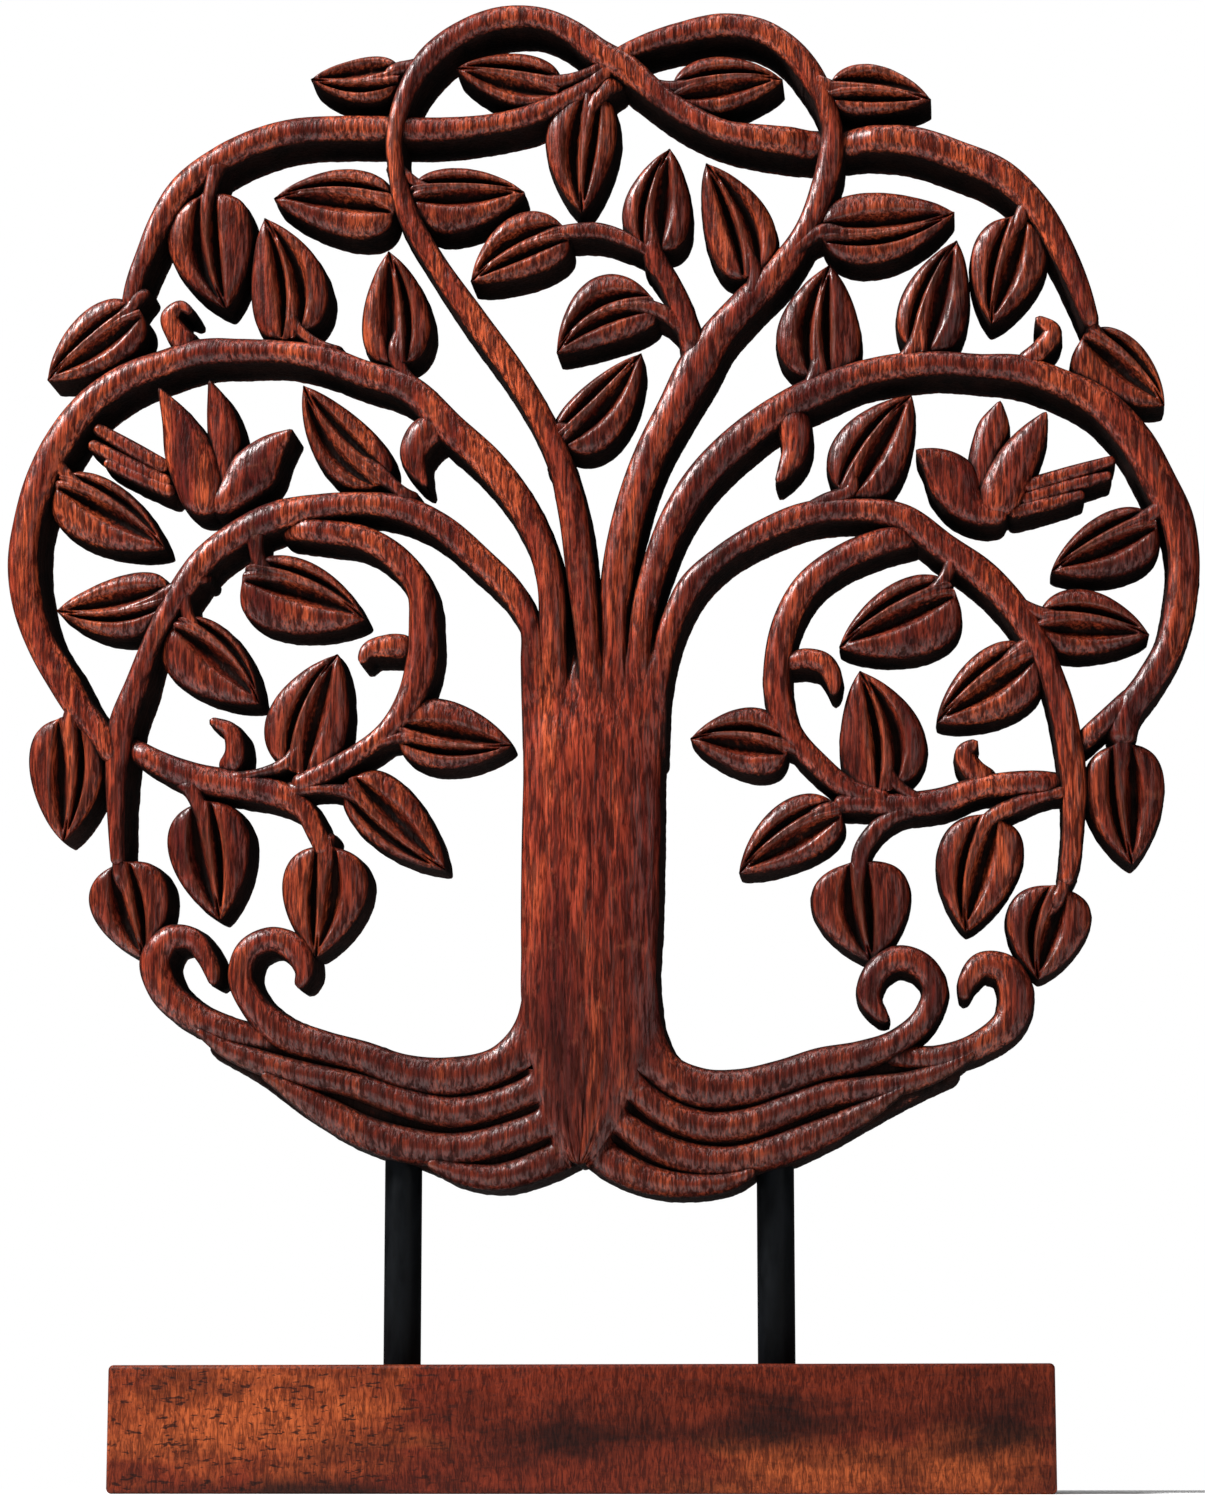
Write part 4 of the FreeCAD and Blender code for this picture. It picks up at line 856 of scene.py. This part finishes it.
def black_rod():
    """Satin black metal with a faint brushed unevenness."""
    n = Nodes("black_rod")
    haze = n.noise(n.coordinates((1, 1, 0.3)), 260, 4, 0.6)
    n.link(n.ramp(haze, [(0.35, (0.0012, 0.0016, 0.0020)), (0.7, (0.0040, 0.0050, 0.0062))]),
           n.shader.inputs["Base Color"])
    n.shader.inputs["Specular IOR Level"].default_value = 0.07
    n.link(n.span(haze, 0.3, 0.7, 0.36, 0.52), n.shader.inputs["Roughness"])
    n.link(n.bump(haze, 0.25, 0.0003), n.shader.inputs["Normal"])
    return n.material


def plain(name, colour, roughness):
    """One even colour, for the floor only."""
    n = Nodes(name)
    n.shader.inputs["Base Color"].default_value = (*colour, 1)
    n.shader.inputs["Roughness"].default_value = roughness
    return n.material


# ---------- pieces ----------

def add_piece(piece, node, body, material):
    """Give a piece its material, hang it from its body's empty, and hide the node's part of the frame."""
    piece.data.materials.append(material)
    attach(piece, body)
    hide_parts(node)


def level_of(name):
    """Front height of a stroke."""
    for start, level in LEVELS.items():
        if name.startswith(start):
            return level
    return LEAF_LEVEL


def stem_into_leaf(base, tip, bow, stem):
    """The stem's points, flared back into its bough and carried on along the leaf's midrib."""
    foot, point = np.array(base, float), np.array(tip, float)
    (x0, z0, start_width), (x1, z1, _) = stem[:2]
    back = 3.0 / math.hypot(x1 - x0, z1 - z0)
    line = [(x0 + (x0 - x1) * back, z0 + (z0 - z1) * back, start_width * 1.6)] + list(stem)
    end_width = stem[-1][2]
    arrive = np.subtract(stem[-1][:2], stem[-2][:2])
    onward = midrib(foot, point, bow * (1 + RIB_LEAN), 0.16) - foot
    if arrive @ onward < 0.75 * np.linalg.norm(arrive) * np.linalg.norm(onward):
        line.pop()
    for u, share in ((0.16, 0.9), (0.38, 0.5)):
        x, z = midrib(foot, point, bow * (1 + RIB_LEAN), u)
        if np.hypot(x - line[-1][0], z - line[-1][1]) > 2.5:
            line.append((x, z, end_width * share))
    return line


def starting_sink(name, number):
    """How deep a stroke's start lies under the wood it grows from, and where it is fully out."""
    if name in ("root_left_1", "root_right_1"):
        return 5.5, 66
    if name.startswith("root"):
        return 2.6, 17
    if name.startswith("bird"):
        return 0.0, 1
    if number == 0 and name.startswith(("crown", "outer", "inner")):
        return 4.5, 24
    if number == 0:
        return 3.2, 9
    return 1.2, 7


def carving_shapes():
    """Every carved node's shapes, by node name."""
    shapes = {"trunk": [ribbon(TRUNK, LEVELS["trunk"], TRUNK_DROP, 2.6, sink=6.0, sink_reach=40,
                               flutes=TRUNK_FLUTES, foot_drop=FOOT_DROP)]}
    back_step = 0
    for name, lines in {**ROOTS, **BOUGHS, **BIRDS}.items():
        shapes[name] = []
        for number, line in enumerate(lines):
            level = level_of(name)
            if name in BIRDS:
                level += BIRD_STEPS[number]
            elif name in BOUGHS and number > 0:
                level -= 0.3
            sink, reach = starting_sink(name, number)
            back_step += 1
            end_sink = 3.0 if name == "outer_bough_right" and number == 1 else 0.0
            back = PANEL_BACK - BACK_STEP * back_step
            shapes[name].append(ribbon(line, level, back=back, sink=sink, sink_reach=reach,
                                       end_sink=end_sink, end_reach=9, dips=DIPS.get(name, ())))
    for name, line in ROOT_WEBS.items():
        shapes[name].append(ribbon(line, WEB_LEVEL, 2.0, 3.0, PANEL_BACK - WEB_BACK_STEPS * BACK_STEP))
    for name, base, tip, left_width, right_width, bow, stem in LEAVES:
        rib = min(width for x, z, width in stem)
        shapes.setdefault(name, []).append(leaf(base, tip, left_width, right_width, bow, rib))
        stem_line = stem_into_leaf(base, tip, bow, stem)
        shapes[name].append(ribbon(stem_line, LEAF_LEVEL + STEM_RISE, 1.7, back=LEAF_BACK - 0.5,
                                   sink=1.6, sink_reach=5, end_sink=2.2, end_reach=9))
    return shapes


def build_carving():
    """The 57 carved nodes."""
    shapes = carving_shapes()
    blend_joins(shapes)
    top, blurred = relief_map([shape for group in shapes.values() for shape in group])
    # One copy of the wood for each kind of element, each painted lighter or darker as painted shade.
    woods = {kind: carved_wood(kind) for kind in KIND_SHADES}
    for name, group in shapes.items():
        piece = carved_object("carved_" + name, group, top, blurred)
        kind = next((kind for kind in KIND_SHADES if name.startswith(kind)), "bough")
        add_piece(piece, name, "carving", woods[kind])


def build_base():
    """The wooden block, with its edges eased."""
    low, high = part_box("base_block")
    mesh = bpy.data.meshes.new("wooden_base")
    block = bmesh.new()
    bmesh.ops.create_cube(block, size=1)
    for vertex in block.verts:
        vertex.co = Vector(b if c > 0 else a for a, b, c in zip(low, high, vertex.co))
    bmesh.ops.bevel(block, geom=block.edges[:], offset=1.3 * MM, segments=4, profile=0.5, affect="EDGES")
    block.to_mesh(mesh)
    block.free()
    piece = place_mesh("wooden_base", mesh, 35)
    add_piece(piece, "base_block", "stand", base_wood())


def build_rods():
    """The two black rods."""
    metal = black_rod()
    for node in ("rod_left", "rod_right"):
        low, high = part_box(node)
        centre = (low + high) / 2
        mesh = bpy.data.meshes.new("black_" + node)
        rod = bmesh.new()
        radius = (high.x - low.x) / 2
        bmesh.ops.create_cone(rod, cap_ends=True, segments=72, radius1=radius, radius2=radius,
                              depth=high.z - low.z)
        rims = [edge for edge in rod.edges if abs(edge.verts[0].co.z - edge.verts[1].co.z) < 1e-6]
        bmesh.ops.bevel(rod, geom=rims, offset=0.5 * MM, segments=3, profile=0.5, affect="EDGES")
        bmesh.ops.translate(rod, verts=rod.verts, vec=centre)
        rod.to_mesh(mesh)
        rod.free()
        piece = place_mesh("black_" + node, mesh, 35)
        add_piece(piece, node, "stand", metal)


# ---------- studio ----------

def make_camera():
    """A long lens, low and a little to the right, as the object was seen."""
    data = bpy.data.cameras.new("camera")
    data.lens = CAMERA_LENS
    data.clip_end = 20
    camera = bpy.data.objects.new("camera", data)
    bpy.context.scene.collection.objects.link(camera)
    camera.location = CAMERA_PLACE
    camera.rotation_euler = Vector(CAMERA_AIM).to_track_quat("-Z", "Y").to_euler()
    bpy.context.scene.camera = camera


def soft_box(name, place, size, power):
    """A rectangular light that faces the object."""
    data = bpy.data.lights.new(name, "AREA")
    data.shape = "RECTANGLE"
    data.size, data.size_y = size
    data.energy = power
    lamp = bpy.data.objects.new(name, data)
    bpy.context.scene.collection.objects.link(lamp)
    lamp.location = place
    aim = Vector(LAMP_AIM) - lamp.location
    lamp.rotation_euler = aim.to_track_quat("-Z", "Y").to_euler()


def make_studio():
    """A pale floor, a white backdrop that gives little light, and three soft boxes."""
    mesh = bpy.data.meshes.new("floor")
    corners = [(-FLOOR_HALF_WIDTH, FLOOR_FRONT, 0), (FLOOR_HALF_WIDTH, FLOOR_FRONT, 0),
               (FLOOR_HALF_WIDTH, FLOOR_BACK, 0), (-FLOOR_HALF_WIDTH, FLOOR_BACK, 0)]
    mesh.from_pydata(corners, [], [(0, 1, 2, 3)])
    floor = bpy.data.objects.new("floor", mesh)
    bpy.context.scene.collection.objects.link(floor)
    mesh.materials.append(plain("pale_floor", (0.95, 0.95, 0.95), 0.9))
    world = bpy.data.worlds.new("studio")
    bpy.context.scene.world = world
    world.use_nodes = True
    tree = world.node_tree
    room = tree.nodes["Background"]
    room.inputs["Color"].default_value = (1, 1, 1, 1)
    room.inputs["Strength"].default_value = ROOM_LIGHT
    backdrop = tree.nodes.new("ShaderNodeBackground")
    backdrop.inputs["Color"].default_value = (1, 1, 1, 1)
    seen = tree.nodes.new("ShaderNodeLightPath")
    choose = tree.nodes.new("ShaderNodeMixShader")
    tree.links.new(seen.outputs["Is Camera Ray"], choose.inputs["Fac"])
    tree.links.new(room.outputs[0], choose.inputs[1])
    tree.links.new(backdrop.outputs[0], choose.inputs[2])
    tree.links.new(choose.outputs[0], tree.nodes["World Output"].inputs["Surface"])
    bpy.context.scene.view_settings.view_transform = "Standard"
    soft_box("key", (-1.0, -0.58, 1.3), (0.4, 0.4), 60)
    soft_box("fill", (1.0, -1.3, 0.5), (0.8, 0.8), 3)
    soft_box("top", (0.1, -0.15, 1.3), (0.8, 0.3), 5)


build_carving()
build_base()
build_rods()
make_camera()
make_studio()
